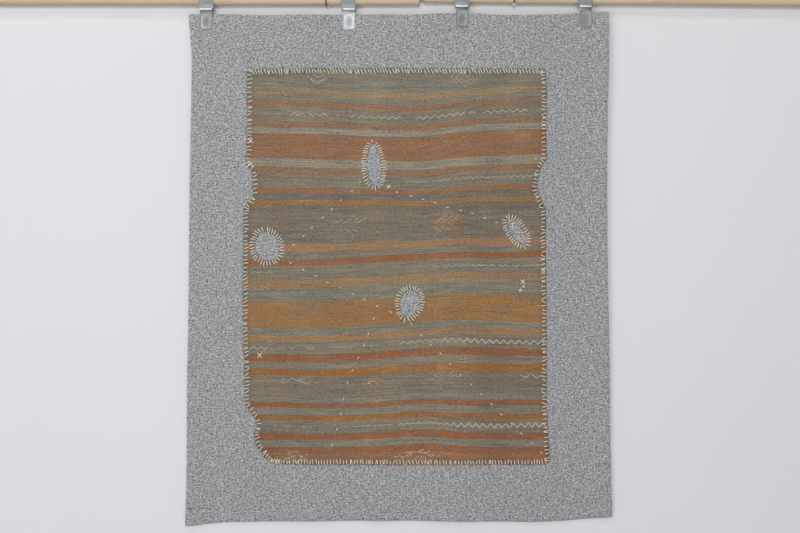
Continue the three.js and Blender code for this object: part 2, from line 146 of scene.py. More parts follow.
# The bow is averaged over places this far apart, in millimetres, which eases its bends
BOW_SHIFTS = (-30, -15, 0, 15, 30)
BOW = np.array([
    (0, 3.0, 10.0, 14.0, 15.5, 16.5, 12.0, 3.0, 0),
    (0, 4.5, 3.5, 10.0, 10.0, 5.5, -2.0, -6.5, -7.5),
    (0, 2.0, 5.5, 4.5, 9.0, 5.5, -1.0, -4.5, -6.5),
    (0, -1.0, -1.0, -1.0, 2.0, -2.0, -7.5, -9.0, -7.5),
    (0, 1.0, -1.0, -7.5, -10.0, -14.0, -16.5, -14.5, -18.5),
    (0, 3.5, 1.0, -5.5, -10.5, -14.0, -16.5, -15.5, -12.0),
    (0, 1.0, 0.0, -6.5, -14.5, -17.5, -18.5, -13.0, -12.0),
    (0, 1.0, 4.5, -1.0, -7.5, -7.5, -7.5, -6.5, -9.0),
    (0, 1.0, 1.0, -1.0, -7.5, -5.5, -1.0, 1.0, -1.0),
])


def linear(red, green, blue, light=0.875):
    """A colour as it looks in the light of the scene, as the share of light that it gives back."""
    def share(value):
        value /= 255
        return (value / 12.92 if value < 0.04045 else ((value + 0.055) / 1.055) ** 2.4) / light
    return share(red), share(green), share(blue)


def colour(name, description, *default):
    return FloatVectorProperty(
        name=name, description=description, subtype="COLOR", size=3, min=0, max=1,
        default=linear(*default),
    )


def size(name, description, default):
    return FloatProperty(name=name, description=description, unit="LENGTH", default=default, min=0)


class RugDyes(bpy.types.PropertyGroup):
    """The colours of the rug's wefts."""
    sage: colour("Sage", "Grey green stripes", 127, 121, 106)
    pale_sage: colour("Pale sage", "Lightest grey green stripes", 140, 134, 118)
    dusty_sage: colour("Dusty sage", "The stripe at the top edge", 125, 120, 106)
    olive: colour("Olive", "Stripes that carry the zigzags", 127, 118, 102)
    slate: colour("Slate", "Darkest grey stripes", 116, 107, 95)
    slate_olive: colour("Slate olive", "Wide dark stripes", 122, 112, 98)
    rust: colour("Rust", "Brown red stripes", 141, 105, 79)
    pale_rust: colour("Pale rust", "Faded brown red stripes", 141, 109, 86)
    brick: colour("Brick", "Deeper red stripes", 139, 94, 67)
    ochre: colour("Ochre", "Orange brown stripes", 147, 112, 75)
    pale_ochre: colour("Pale ochre", "Faded orange brown stripes", 150, 119, 88)
    gold: colour("Gold", "Deeper orange stripes", 145, 102, 61)
    straw: colour("Straw", "The palest orange stripe", 149, 126, 98)
    warp: colour("Warp", "Undyed warp that shows where the weft is worn", 170, 154, 126)
    brocade: colour("Brocade", "Cream zigzags and motifs", 206, 197, 174)
    brocade_orange: colour("Brocade orange", "Orange motifs", 188, 128, 62)
    brocade_rust: colour("Brocade rust", "Faded red motifs", 158, 98, 72)


class ClothSettings(bpy.types.PropertyGroup):
    """The grey cloth's yarn and the sewing."""
    pale_yarn: colour("Pale yarn", "Lightest flecks", 214, 214, 216)
    grey_yarn: colour("Grey yarn", "Most of the cloth", 154, 154, 156)
    dark_yarn: colour("Dark yarn", "Darkest flecks", 82, 82, 86)
    thread: colour("Thread", "Sewing thread", 245, 239, 228)
    yarn_pitch: size("Yarn pitch", "Distance between two yarns of the grey cloth", 1.25 * MM)
    weft_pitch: size("Weft pitch", "Distance between two wefts of the rug", 0.95 * MM)
    warp_pitch: size("Warp pitch", "Distance between two ribs of the rug", 4.4 * MM)
    backing_mesh: size("Grey cloth mesh", "Width of its mesh faces", 6.5 * MM)
    rug_mesh: size("Rug mesh", "Distance between the rug's mesh points", 5 * MM)
    thread_width: size("Thread width", "Width of the sewing thread", 1.75 * MM)
    stitch_reach: size("Stitch reach", "How far whip stitches reach into the rug", 10.2 * MM)
    edge_pitch: size("Edge pitch", "Distance between whip stitches at the sides", 8.6 * MM)
    hole_pitch: size("Hole pitch", "Distance between whip stitches round a hole", 5.6 * MM)


class HangerSettings(bpy.types.PropertyGroup):
    """The pole and the clips."""
    pine: colour("Pine", "Pale wood", 234, 213, 184)
    pine_grain: colour("Pine grain", "Late wood in the grain", 206, 176, 142)
    joiner: colour("Joiner", "Paint of the joiner", 232, 232, 230)
    wire: colour("Wire", "Loops round the pole", 84, 72, 56)
    steel: colour("Steel", "Zinc plated clips", 176, 180, 182)
    pole_radius: size("Pole radius", "Half of the pole's diameter", 17.5 * MM)


class StageSettings(bpy.types.PropertyGroup):
    """The plain studio."""
    wall: colour("Wall", "Backdrop and floor", 224, 225, 228)
    daylight: FloatProperty(name="Daylight", description="Light from all round", default=0.26, min=0)
    key: FloatProperty(name="Key", description="Power of the main light", default=90,
                       min=0, unit="POWER")
    fill: FloatProperty(name="Fill", description="Power of the weaker light", default=36,
                        min=0, unit="POWER")
    strip: FloatProperty(name="Strip", description="Power of the long light above", default=23,
                         min=0, unit="POWER")


def settings():
    return bpy.context.scene.hung_rug


class HungRug(bpy.types.PropertyGroup):
    """Everything that can be set."""
    dyes: PointerProperty(type=RugDyes)
    cloth: PointerProperty(type=ClothSettings)
    hanger: PointerProperty(type=HangerSettings)
    stage: PointerProperty(type=StageSettings)


# Shaders


class Wire:
    """A socket of a shader node that takes part in plain arithmetic."""

    def __init__(self, finish, socket):
        self.finish, self.socket = finish, socket

    def __add__(self, other):
        return self.finish.maths("ADD", self, other)

    __radd__ = __add__

    def __sub__(self, other):
        return self.finish.maths("SUBTRACT", self, other)

    def __rsub__(self, other):
        return self.finish.maths("SUBTRACT", other, self)

    def __mul__(self, other):
        return self.finish.maths("MULTIPLY", self, other)

    __rmul__ = __mul__

    def __truediv__(self, other):
        return self.finish.maths("DIVIDE", self, other)


class Finish:
    """One material, and short names for the nodes that it is made of."""

    def __init__(self, name, **shader):
        self.material = bpy.data.materials.new(name)
        self.material.use_nodes = True
        self.tree = self.material.node_tree
        self.tree.nodes.clear()
        self.shader = self.tree.nodes.new("ShaderNodeBsdfPrincipled")
        output = self.tree.nodes.new("ShaderNodeOutputMaterial")
        self.tree.links.new(self.shader.outputs[0], output.inputs["Surface"])
        for socket, value in shader.items():
            self.shader.inputs[socket.replace("_", " ")].default_value = value

    def node(self, kind, settings, sockets, output=0):
        """Adds a node: its settings first, then the values or links of its sockets."""
        node = self.tree.nodes.new(kind)
        for name, value in settings.items():
            if name == "stops":
                self.set_stops(node.color_ramp, value)
            elif name == "ramp_interpolation":
                node.color_ramp.interpolation = value
            else:
                setattr(node, name, value)
        for key, value in sockets.items():
            if isinstance(value, Wire):
                self.tree.links.new(value.socket, node.inputs[key])
            else:
                node.inputs[key].default_value = value
        return Wire(self, node.outputs[output])

    @staticmethod
    def set_stops(ramp, stops):
        while len(ramp.elements) < len(stops):
            ramp.elements.new(1.0)
        for element, (place, shade) in zip(ramp.elements, stops):
            element.position = place
            element.color = (*shade, 1)

    def maths(self, operation, *values):
        return self.node("ShaderNodeMath", {"operation": operation}, dict(enumerate(values)))

    def floor(self, value):
        return self.maths("FLOOR", value)

    def fraction(self, value):
        return self.maths("FRACT", value)

    def cosine(self, value):
        return self.maths("COSINE", value)

    def blend(self, low, high, factor):
        """From one number to another."""
        return low + (high - low) * factor

    def smooth(self, value, low, high):
        """0 below low, 1 above high, and an even step between them."""
        return self.node(
            "ShaderNodeMapRange", {"interpolation_type": "SMOOTHSTEP"},
            {"Value": value, "From Min": low, "From Max": high},
        )

    def vector(self, x, y, z=0.0):
        return self.node("ShaderNodeCombineXYZ", {}, {0: x, 1: y, 2: z})

    def parts(self, vector):
        node = self.node("ShaderNodeSeparateXYZ", {}, {0: vector}).socket.node
        return [Wire(self, output) for output in node.outputs]

    def spot(self):
        """The piece's own coordinates in metres, in one wire."""
        return self.node("ShaderNodeTexCoord", {}, {}, "Object")

    def place(self):
        """The piece's own coordinates in metres, one wire for each."""
        return self.parts(self.spot())

    def attribute(self, name):
        return self.parts(self.node("ShaderNodeAttribute", {"attribute_name": name}, {}, "Vector"))

    def noise(self, vector, scale=1.0, detail=2.0, roughness=0.5):
        return self.node(
            "ShaderNodeTexNoise", {},
            {"Vector": vector, "Scale": scale, "Detail": detail, "Roughness": roughness},
        )

    def ramp(self, value, stops, interpolation="LINEAR"):
        return self.node(
            "ShaderNodeValToRGB", {"stops": stops, "ramp_interpolation": interpolation}, {0: value}
        )

    def mix(self, factor, one, other, blend="MIX"):
        """Mixes two colours."""
        one, other = (c if isinstance(c, Wire) else (*c, 1) for c in (one, other))
        return self.node(
            "ShaderNodeMix", {"data_type": "RGBA", "blend_type": blend},
            {0: factor, 6: one, 7: other}, 2,
        )

    def shade(self, tint, amount):
        """Makes a colour lighter or darker by a number that varies."""
        return self.node("ShaderNodeVectorMath", {"operation": "SCALE"}, {0: tint, "Scale": amount})

    def finish(self, tint, height=None, distance=0.3 * MM, roughness=None, strength=1.0):
        """Links what varies to the shader and returns the material."""
        self.tree.links.new(tint.socket, self.shader.inputs["Base Color"])
        if roughness is not None:
            self.tree.links.new(roughness.socket, self.shader.inputs["Roughness"])
        if height is not None:
            bump = self.node(
                "ShaderNodeBump", {}, {"Height": height, "Distance": distance, "Strength": strength}
            )
            self.tree.links.new(bump.socket, self.shader.inputs["Normal"])
        return self.material


def backing_finish():
    """Plain weave of grey yarn that is flecked with white and charcoal."""
    chosen = settings().cloth
    cloth = Finish("flecked_grey_cloth", Roughness=0.95, Sheen_Weight=0.1)
    across, down, edge = cloth.attribute("weave")
    lean = cloth.noise(cloth.vector(across, down), 16, 1) - 0.5
    warp = across / chosen.yarn_pitch + lean * 1.6
    weft = down / chosen.yarn_pitch + lean * 2.2
    warp_row, weft_row = cloth.floor(warp), cloth.floor(weft)
    beside, below = cloth.fraction(warp) - 0.5, cloth.fraction(weft) - 0.5
    weft_over = cloth.fraction((warp_row + weft_row) * 0.5) * 2
    weft_fleck = cloth.noise(cloth.vector(warp * 0.36, weft_row * 7.3, 2.0), 1, 2, 0.7)
    warp_fleck = cloth.noise(cloth.vector(warp_row * 5.9, weft * 0.4, 9.0), 1, 2, 0.7)
    fleck = cloth.blend(warp_fleck, weft_fleck, weft_over) - 0.5
    tuft = cloth.noise(cloth.vector(across * 0.78, down * 1.05, 3.0), 300, 1, 0.5) - 0.5
    slub = cloth.noise(cloth.vector(across * 60, down * 420, 4.0), 1, 2) - 0.5
    stripe = cloth.noise(cloth.vector(across * 420, down * 50, 6.0), 1, 2) - 0.5
    tone = 0.49 + fleck * 1.78 + tuft * 1.42 + slub * 0.5 + stripe * 0.5
    dark, grey, pale = chosen.dark_yarn, chosen.grey_yarn, chosen.pale_yarn
    tint = cloth.ramp(tone, [(0.0, dark), (0.5, grey), (1.0, pale)])
    crown_weft = (1 - below * below * 3.4) * (0.72 + 0.28 * cloth.cosine(beside * math.pi))
    crown_warp = (1 - beside * beside * 3.4) * (0.72 + 0.28 * cloth.cosine(below * math.pi))
    crown = cloth.blend(crown_warp, crown_weft, weft_over)
    selvedge = 1 - cloth.smooth(edge, 1.0 * MM, 2.6 * MM)
    patch = cloth.noise(cloth.vector(across, down, 7.0), 9, 2)
    # Painted shade: the gaps between the yarns' crowns are painted darker than the crowns.
    light = (0.86 + crown * 0.22) * (0.96 + patch * 0.08) * (1 + selvedge * 0.16)
    return cloth.finish(cloth.shade(tint, light), crown + tuft * 0.9, 0.35 * MM, strength=0.7)


def rug_finish():
    """Weft-faced weave in dyed stripes that follow the weft, faded, soiled and worn, with painted
    light and shade of broad folds, and darker towards its edge.
    """
    chosen, dyes = settings().cloth, settings().dyes
    rug = Finish("striped_flat_weave", Roughness=0.93, Sheen_Weight=0.12)
    across, down, edge = rug.attribute("weave")
    drift = rug.noise(rug.vector(across * 7, down * 60), 1, 2) - 0.5
    weft = down / chosen.weft_pitch + drift * 1.5
    row = rug.floor(weft)
    stagger = rug.noise(rug.vector(across * 22, row * 0.71, 1.0), 1, 2) - 0.5
    depth = (row + 0.5) * chosen.weft_pitch + stagger * 3.2 * MM
    base = stripe_tint(rug, depth)
    yarn = rug.noise(rug.vector(across * 24, row * 3.7, 2.0), 1, 3, 0.6) - 0.5
    streak = rug.noise(rug.vector(across * 12, down * 400, 3.0), 1, 2, 0.6) - 0.5
    band = rug.noise(rug.vector(across * 3, down * 120, 9.0), 1, 2, 0.6) - 0.5
    heather = rug.noise(rug.vector(across * 150, down * 420, 4.0), 1, 1, 0.6) - 0.5
    soil = rug.noise(rug.vector(across, down, 5.0), 9, 3, 0.55) - 0.5
    fade = rug.noise(rug.vector(across * 3, down * 16, 6.0), 1, 3)
    wander = rug.noise(rug.vector(across * 30, down * 7, 7.0), 1, 2) - 0.5
    warp = across / chosen.warp_pitch + wander * 1.1
    rib = rug.cosine(warp * (2 * math.pi))
    over = rug.cosine((warp + row * 0.5) * (2 * math.pi))
    weft_rub_and_lit_strap = rug.noise(rug.vector(across * 18, down * 30, 8.0), 1, 3, 0.6) - 0.5
    bare = rug.smooth(weft_rub_and_lit_strap + over * 0.12 + yarn * 0.6, 0.06, 0.34)
    tint = rug.mix(bare * 0.3, base, dyes.warp)
    tint = rug.mix(rug.smooth(fade, 0.5, 0.8) * 0.15, tint, dyes.sage)
    # Darker within 24 mm of the rug's edge.
    near_edge_darkening = 1 - rug.smooth(edge, 0.0, 24 * MM)
    # Painted light and shade of broad folds: a lighter band near x = 0.03 m and a darker band near x
    # = 0.22 m, both stronger towards the foot.
    low = rug.smooth(down, 0.67, 0.8)
    fold_light_band = 1 - rug.smooth(rug.maths("ABSOLUTE", across - 0.03), 0.04, 0.2)
    fold_shade_band = 1 - rug.smooth(rug.maths("ABSOLUTE", across - 0.22), 0.02, 0.1)
    painted_shading = 1 + fold_light_band * (0.015 + low * 0.055) - fold_shade_band * (0.03 + low * 0.05)
    light = 1 + yarn * 0.95 + streak * 1.4 + band * 0.5 + heather * 1.2 + soil * 0.34
    ribbed = rug.smooth(rug.noise(rug.vector(across * 10, down * 13, 5.5), 1, 2), 0.45, 0.7)
    light = light * (1 - near_edge_darkening * 0.2) * (1 + rib * (0.03 + ribbed * 0.12)) * painted_shading
    vivid = rug.node("ShaderNodeHueSaturation", {}, {
        "Saturation": 1.0 + streak * 1.3 + band * 0.5, "Value": 1.0, "Fac": 1.0, "Color": tint,
        "Hue": 0.5 - streak * 0.02,
    })
    thread = rug.fraction(weft) - 0.5
    height = over * 0.35 + rib * 0.15 + (1 - thread * thread * 3) * 0.35 + heather * 0.8
    return rug.finish(rug.shade(vivid, light), height, 0.35 * MM, strength=0.8)


def stripe_tint(rug, depth):
    """The dye of each stripe. One ramp holds at most 32 stops, so two share the rug."""
    dyes = settings().dyes
    starts = [0.0] + [end * MM for end, _ in STRIPES[:-1]]
    stripes = [(start, getattr(dyes, dye)) for start, (_, dye) in zip(starts, STRIPES)]
    half = len(stripes) // 2
    middle = stripes[half][0]
    upper = rug.ramp(depth / middle, [(s / middle, dye) for s, dye in stripes[:half]], "CONSTANT")
    lower_stops = [(s - middle, dye) for s, dye in stripes[half:]]
    lower = rug.ramp(depth - middle, lower_stops, "CONSTANT")
    return rug.mix(rug.maths("GREATER_THAN", depth, middle), upper, lower)


def thread_finish():
    """Twisted cotton. Each length carries how far along, how far round and how bright it is."""
    yarn = Finish("cotton_thread", Roughness=0.8, Sheen_Weight=0.15)
    along, around, tone = yarn.attribute("twist")
    twist_length = 1.9 * MM
    fuzz = yarn.noise(yarn.spot(), 1400, 2)
    ply = yarn.cosine((along / twist_length + around * 2) * (2 * math.pi)) * 0.5 + 0.5
    shade = (0.8 + tone * 0.2) * (0.86 + fuzz * 0.22) * (0.84 + ply * 0.18)
    return yarn.finish(yarn.shade(settings().cloth.thread, shade), fuzz * 0.4 + ply, 0.2 * MM)


def loose_finish(name, stops, least):
    """Broken yarn. Each length has the shade of its mark, and least is how dark it gets."""
    yarn = Finish(name, Roughness=0.95)
    along, mark, tone = yarn.attribute("twist")
    fuzz = yarn.noise(yarn.vector(along * 900, mark * 9, tone * 5), 1, 2)
    return yarn.finish(yarn.shade(yarn.ramp(mark, stops, "CONSTANT"), least + fuzz * 0.5))


def brocade_finish():
    """Cream, orange and rust yarn laid in the weave. Worn lengths sink into the ground."""
    dyes = settings().dyes
    yarn = Finish("brocade_yarn", Roughness=0.88, Sheen_Weight=0.1)
    along, dye, strength = yarn.attribute("twist")
    fuzz = yarn.noise(yarn.vector(along * 900, dye * 5, strength * 7), 1, 3)
    ground = tuple(0.5 * (a + b) for a, b in zip(dyes.olive, dyes.sage))
    cream, orange, rust = dyes.brocade, dyes.brocade_orange, dyes.brocade_rust
    bright = yarn.ramp(dye, [(0, cream), (0.3, orange), (0.7, rust)], "CONSTANT")
    tint = yarn.mix(strength * (0.75 + fuzz * 0.5), ground, bright)
    return yarn.finish(yarn.shade(tint, 0.82 + fuzz * 0.36), fuzz, 0.2 * MM)


def pine_finish():
    """Pale waxed pine, with rings, fibres and a few knots."""
    chosen = settings().hanger
    wood = Finish("waxed_pine", Roughness=0.5, Coat_Weight=0.1, Coat_Roughness=0.35)
    x, y, z = wood.place()
    warp = wood.noise(wood.vector(x * 3, y * 20, z * 20), 1, 2) * 0.9
    rings = wood.fraction((y * 0.7 + z) * 130 + warp * 2.4 + x * 0.8)
    late = wood.smooth(rings, 0.45, 0.95) * (1 - wood.smooth(rings, 0.95, 1.0))
    fibre = wood.noise(wood.vector(x * 14, y * 1100, z * 1100), 1, 3, 0.6)
    grain = late * 0.5 + fibre * 0.5
    tint = wood.mix(grain * 0.75, chosen.pine, chosen.pine_grain)
    knots = wood.noise(wood.vector(x * 6, y * 9, z * 9), 1, 2)
    light = 0.97 + fibre * 0.06 - wood.smooth(knots, 0.68, 0.8) * 0.12
    return wood.finish(
        wood.shade(tint, light), grain, 0.08 * MM, roughness=0.42 + fibre * 0.2, strength=0.6
    )


def paint_finish(name):
    """Satin paint with small pits."""
    paint = Finish(name, Roughness=0.5)
    pits = paint.noise(paint.spot(), 700, 3)
    shade = settings().hanger.joiner
    tint = paint.ramp(pits, [(0.2, tuple(0.9 * c for c in shade)), (0.6, shade)])
    return paint.finish(tint, pits, 0.05 * MM)


def wire_finish():
    """Dark oiled wire with a little rust."""
    wire = Finish("dark_wire", Roughness=0.45, Metallic=0.8)
    rust = wire.noise(wire.spot(), 420, 3)
    shade = settings().hanger.wire
    tint = wire.ramp(rust, [(0.3, shade), (0.75, tuple(1.7 * c for c in shade))])
    return wire.finish(tint, rust, 0.05 * MM, roughness=0.3 + rust * 0.35)


def steel_finish(name, tone, middle=(0, 0), metal=1.0):
    """Pressed zinc-plated steel: spangled and faintly scratched. A plate's middle is rougher, and
    painted darker as shade where a dished middle would reflect less light.
    """
    steel = Finish(name, Metallic=metal)
    x, y, z = steel.place()
    grain = steel.noise(steel.vector(x * 2600, y * 2600, z * 240), 1, 3, 0.6)
    cloud = steel.noise(steel.vector(x, y, z), 260, 3)
    scratch = steel.noise(steel.vector(x * 500, y * 500, z * 9000), 1, 2)
    shaded_width, shaded_height = 8 * MM, 13 * MM
    across, up = (x - middle[0]) / shaded_width, (z - middle[1]) / shaded_height
    # Painted shade: the plate's middle is painted darker, and is also made rougher.
    painted_shading = 1 - steel.smooth(across * across + up * up, -0.4, 1.7)
    base = tuple(min(1.0, c * tone) for c in settings().hanger.steel)
    dull = tuple(c * 0.7 for c in base)
    tint = steel.ramp(cloud * 0.6 + grain * 0.4, [(0.34, dull), (0.62, base)])
    rough = 0.34 + cloud * 0.16 + grain * 0.1 + painted_shading * 0.1
    tint = steel.shade(tint, 1 - painted_shading * 0.2)
    return steel.finish(tint, grain * 0.6 + scratch * 0.3, 0.03 * MM, roughness=rough, strength=0.5)


# Cloth shapes


def smooth_rise(value, low, high):
    share = np.clip((value - low) / (high - low), 0, 1)
    return share * share * (3 - 2 * share)


def cloth_lift(x, z):
    """How far the cloth stands forward of its flat plane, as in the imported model."""
    x, z = np.asarray(x) / MM, np.asarray(z) / MM
    fall = np.clip((CLOTH_TOP / MM - z) / ((CLOTH_TOP - CLOTH_FOOT) / MM), 0, 1)
    folds = sum(
        (f["top"] + (f["foot"] - f["top"]) * fall)
        * np.exp(-(((x - f["x"] - f["drift"] * fall) / f["spread"]) ** 2))
        for f in FOLDS
    )
    free = 1.0
    for clip in CLIPS:
        aside = np.abs(x - clip["x"] - clip["slip"]) - HELD_FLAT["half_width"]
        across = smooth_rise(aside, 0, HELD_FLAT["fade_across"])
        down = smooth_rise(HELD_FLAT["foot"] - z, 0, HELD_FLAT["fade_down"])
        free = free * (1 - (1 - across) * (1 - down))
    corner = np.hypot(x - CURLED_CORNER["x"], z - CURLED_CORNER["z"]) / CURLED_CORNER["reach"]
    ripple = RIPPLE_HEIGHT * np.sin(x / 31 + z / 140) * np.sin(z / 83 - x / 190) * free
    return (folds * free + CURLED_CORNER["lift"] * np.exp(-(corner**2)) + ripple) * MM


def weft_bow(x, depth):
    """How far the weft lies below its straight line."""
    x, depth = np.broadcast_arrays(np.asarray(x) / MM, np.asarray(depth) / MM)
    columns = np.array([np.interp(depth, BOW_DOWN, column) for column in BOW.T])
    total = 0.0
    for shift in BOW_SHIFTS:
        across = np.clip(x + shift, BOW_ACROSS[0], BOW_ACROSS[-1])
        right = np.clip(np.searchsorted(BOW_ACROSS, across), 1, len(BOW_ACROSS) - 1)
        left = right - 1
        share = (across - BOW_ACROSS[left]) / (BOW_ACROSS[right] - BOW_ACROSS[left])
        low = np.take_along_axis(columns, left[None], 0)[0]
        high = np.take_along_axis(columns, right[None], 0)[0]
        total = total + low + (high - low) * share
    return total / len(BOW_SHIFTS) * MM


def woven_depth(x, z):
    """Which weft lies at a place on the rug, found in a few rounds."""
    depth = -np.asarray(z, float)
    for _ in range(4):
        depth = -z - weft_bow(x, depth)
    return depth


def resampled(outline, step):
    """The points of a closed outline, an even step apart."""
    closed = np.vstack([outline, outline[:1]])
    lengths = np.hypot(*np.diff(closed, axis=0).T)
    along = np.concatenate([[0], np.cumsum(lengths)])
    count = max(3, int(round(along[-1] / step)))
    places = np.arange(count) * along[-1] / count
    return np.stack([np.interp(places, along, closed[:, i]) for i in (0, 1)], axis=1)


def rounded(outline, reach):
    """A closed outline with its corners eased over a few points."""
    return sum(np.roll(outline, k, axis=0) for k in range(-reach, reach + 1)) / (2 * reach + 1)


def outward(outline, reach=1):
    """Unit normals on the left of an outline's direction, and that direction."""
    along = np.roll(outline, -reach, axis=0) - np.roll(outline, reach, axis=0)
    along /= np.linalg.norm(along, axis=1, keepdims=True)
    return np.stack([-along[:, 1], along[:, 0]], axis=1), along


def frayed(outline, amount, seed):
    """An outline with the small steps that a worn edge has."""
    luck = np.random.default_rng(seed)
    steps = luck.normal(0, 1, len(outline))
    steps = 0.5 * steps + 0.5 * (np.roll(steps, 1) + np.roll(steps, -1)) / 2
    normal, _ = outward(outline)
    return outline + normal * np.clip(steps, -1.6, 1.6)[:, None] * amount


OUTLINE_STEP = 2.5 * MM
# Edges that carry stitches and loose ends are stepped more finely
FINE_STEP, FINE_STEPS_PER_MM = 0.5 * MM, 2


def rug_edge():
    return rounded(resampled(RUG_OUTLINE * MM, OUTLINE_STEP), 1)


def hole_edge(hole):
    """A hole's outline, anticlockwise: an ellipse whose upper or lower end may be pointed."""
    lean = math.radians(hole["lean"])
    turn = (np.arange(120) + 0.5) / 120 * 2 * math.pi
    tip = np.cos(turn / 2) if hole["taper"] < 0 else np.sin(turn / 2)
    taper = abs(hole["taper"])
    across = -hole["width"] / 2 * np.sin(turn) * np.abs(tip) ** taper * (1 + 0.35 * taper)
    up = hole["height"] / 2 * np.cos(turn)
    x = hole["x"] + across * math.cos(lean) - up * math.sin(lean)
    z = hole["z"] + up * math.cos(lean) + across * math.sin(lean)
    return resampled(np.stack([x, z], axis=1) * MM, OUTLINE_STEP)


def in_blocks(points, work):
    """Runs work over the points a few at a time, to spare memory."""
    return np.concatenate([work(points[i:i + 2000]) for i in range(0, len(points), 2000)])


def inside(points, outline):
    starts, ends = outline, np.roll(outline, -1, axis=0)

    def work(block):
        x, z = block[:, :1], block[:, 1:]
        crosses = (starts[:, 1] > z) != (ends[:, 1] > z)
        rise = ends[:, 1] - starts[:, 1]
        rise = np.where(np.abs(rise) < 1e-12, 1e-12, rise)
        at = starts[:, 0] + (z - starts[:, 1]) * (ends[:, 0] - starts[:, 0]) / rise
        return (crosses & (x < at)).sum(axis=1) % 2 == 1

    return in_blocks(points, work)


def distance(points, outline):
    """How far each point is from the nearest point of a finely stepped outline."""
    def work(block):
        away = block[:, None, :] - outline[None]
        return np.sqrt((away**2).sum(axis=2).min(axis=1))
    return in_blocks(points, work)


def new_piece(name, points, faces, material, values=None):
    """A mesh piece at the origin. values names an attribute and holds it for each point."""
    mesh = bpy.data.meshes.new(name)
    mesh.from_pydata(np.asarray(points).tolist(), [], faces)
    mesh.update()
    for attribute, numbers in (values or {}).items():
        layer = mesh.attributes.new(attribute, "FLOAT_VECTOR", "POINT")
        layer.data.foreach_set("vector", np.asarray(numbers, np.float32).ravel())
    mesh.shade_smooth()
    mesh.materials.append(material)
    piece = bpy.data.objects.new(name, mesh)
    bpy.context.scene.collection.objects.link(piece)
    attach(piece, "root")
    return piece


# How far a cloth's two faces draw together at a rim, and how far the rim stands out, as shares of
# the cloth's thickness
RIM_EASE, RIM_BULGE = 0.22, 0.28


def closed_sheet(name, flat, faces, rims, front, back, material, weave):
    """A thin cloth on the folds, closed by a rounded rim along each outline.

    flat holds x and z for each point, faces are anticlockwise as seen from the front, and each
    rim lists its points with the cloth on its right.
    """
    lift = cloth_lift(flat[:, 0], flat[:, 1])
    ease = np.zeros(len(flat))
    for rim in rims:
        ease[rim] = RIM_EASE
    thick = back - front
    layers = [
        np.stack([flat[:, 0], front + ease * thick - lift, flat[:, 1]], axis=1),
        np.stack([flat[:, 0], back - ease * thick - lift, flat[:, 1]], axis=1),
    ]
    count = len(flat)
    all_faces = [tuple(f) for f in faces]
    all_faces += [tuple(i + count for i in reversed(f)) for f in faces]
    weaves = [weave, weave]
    used = 2 * count
    for rim in rims:
        edge = flat[rim]
        normal, _ = outward(edge)
        edge = edge + normal * thick * RIM_BULGE
        middle = (front + back) / 2 - cloth_lift(edge[:, 0], edge[:, 1])
        layers.append(np.stack([edge[:, 0], middle, edge[:, 1]], axis=1))
        weaves.append(weave[rim])
        for i in range(len(rim)):
            j = (i + 1) % len(rim)
            a, b, c, d = rim[i], rim[j], used + j, used + i
            all_faces += [(a, b, c, d), (d, c, b + count, a + count)]
        used += len(rim)
    return new_piece(name, np.vstack(layers), all_faces, material, {"weave": np.vstack(weaves)})


def make_backing():
    """The grey cloth: an even mesh stretched between its four edges."""
    pitch = settings().cloth.backing_mesh
    columns, rows = int(BACKING_WIDTH / pitch), int(BACKING_HEIGHT / pitch)
    share = np.linspace(0, 1, columns + 1)
    level = np.linspace(0, 1, rows + 1)
    top, foot = (
        np.interp(np.linspace(*edge[[0, -1], 0], columns + 1), *smooth_rows(edge).T)
        for edge in (BACKING_TOP, BACKING_FOOT)
    )
    sides = smooth_rows(BACKING_SIDES)
    height = np.interp(level, (0, 1), (BACKING_SIDES[0][0], BACKING_SIDES[-1][0]))
    left = np.interp(height, sides[:, 0], sides[:, 1])
    right = np.interp(height, sides[:, 0], sides[:, 2])
    x = left[:, None] + (right - left)[:, None] * share
    z = foot + (top - foot) * level[:, None]
    flat = np.stack([x.ravel(), z.ravel()], axis=1) * MM
    at = np.arange((rows + 1) * (columns + 1)).reshape(rows + 1, columns + 1)
    faces = np.stack([at[:-1, :-1], at[:-1, 1:], at[1:, 1:], at[1:, :-1]], axis=2).reshape(-1, 4)
    rim = np.concatenate([at[-1, :-1], at[::-1, -1][:-1], at[0, ::-1][:-1], at[:-1, 0]])
    across = np.broadcast_to(share * BACKING_WIDTH, x.shape).ravel()
    edge = np.minimum(across, BACKING_WIDTH - across)
    weave = np.stack([across, -flat[:, 1], edge], axis=1)
    piece = closed_sheet(
        "grey_cloth", flat, faces.tolist(), [rim], BACKING_FRONT, BACKING_BACK,
        backing_finish(), weave,
    )
    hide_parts("backing_cloth")


def smooth_rows(rows, steps=8):
    """A smooth curve through rows of numbers (Catmull and Rom's), with more rows."""
    padded = np.vstack([2 * rows[0] - rows[1], rows, 2 * rows[-1] - rows[-2]])
    out = []
    for i in range(len(rows) - 1):
        before, a, b, after = padded[i:i + 4]
        for t in np.arange(steps) / steps:
            out.append(0.5 * (
                2 * a + (b - before) * t + (2 * before - 5 * a + 4 * b - after) * t**2
                + (3 * a - before - 3 * b + after) * t**3
            ))
    return np.vstack(out + [rows[-1]])


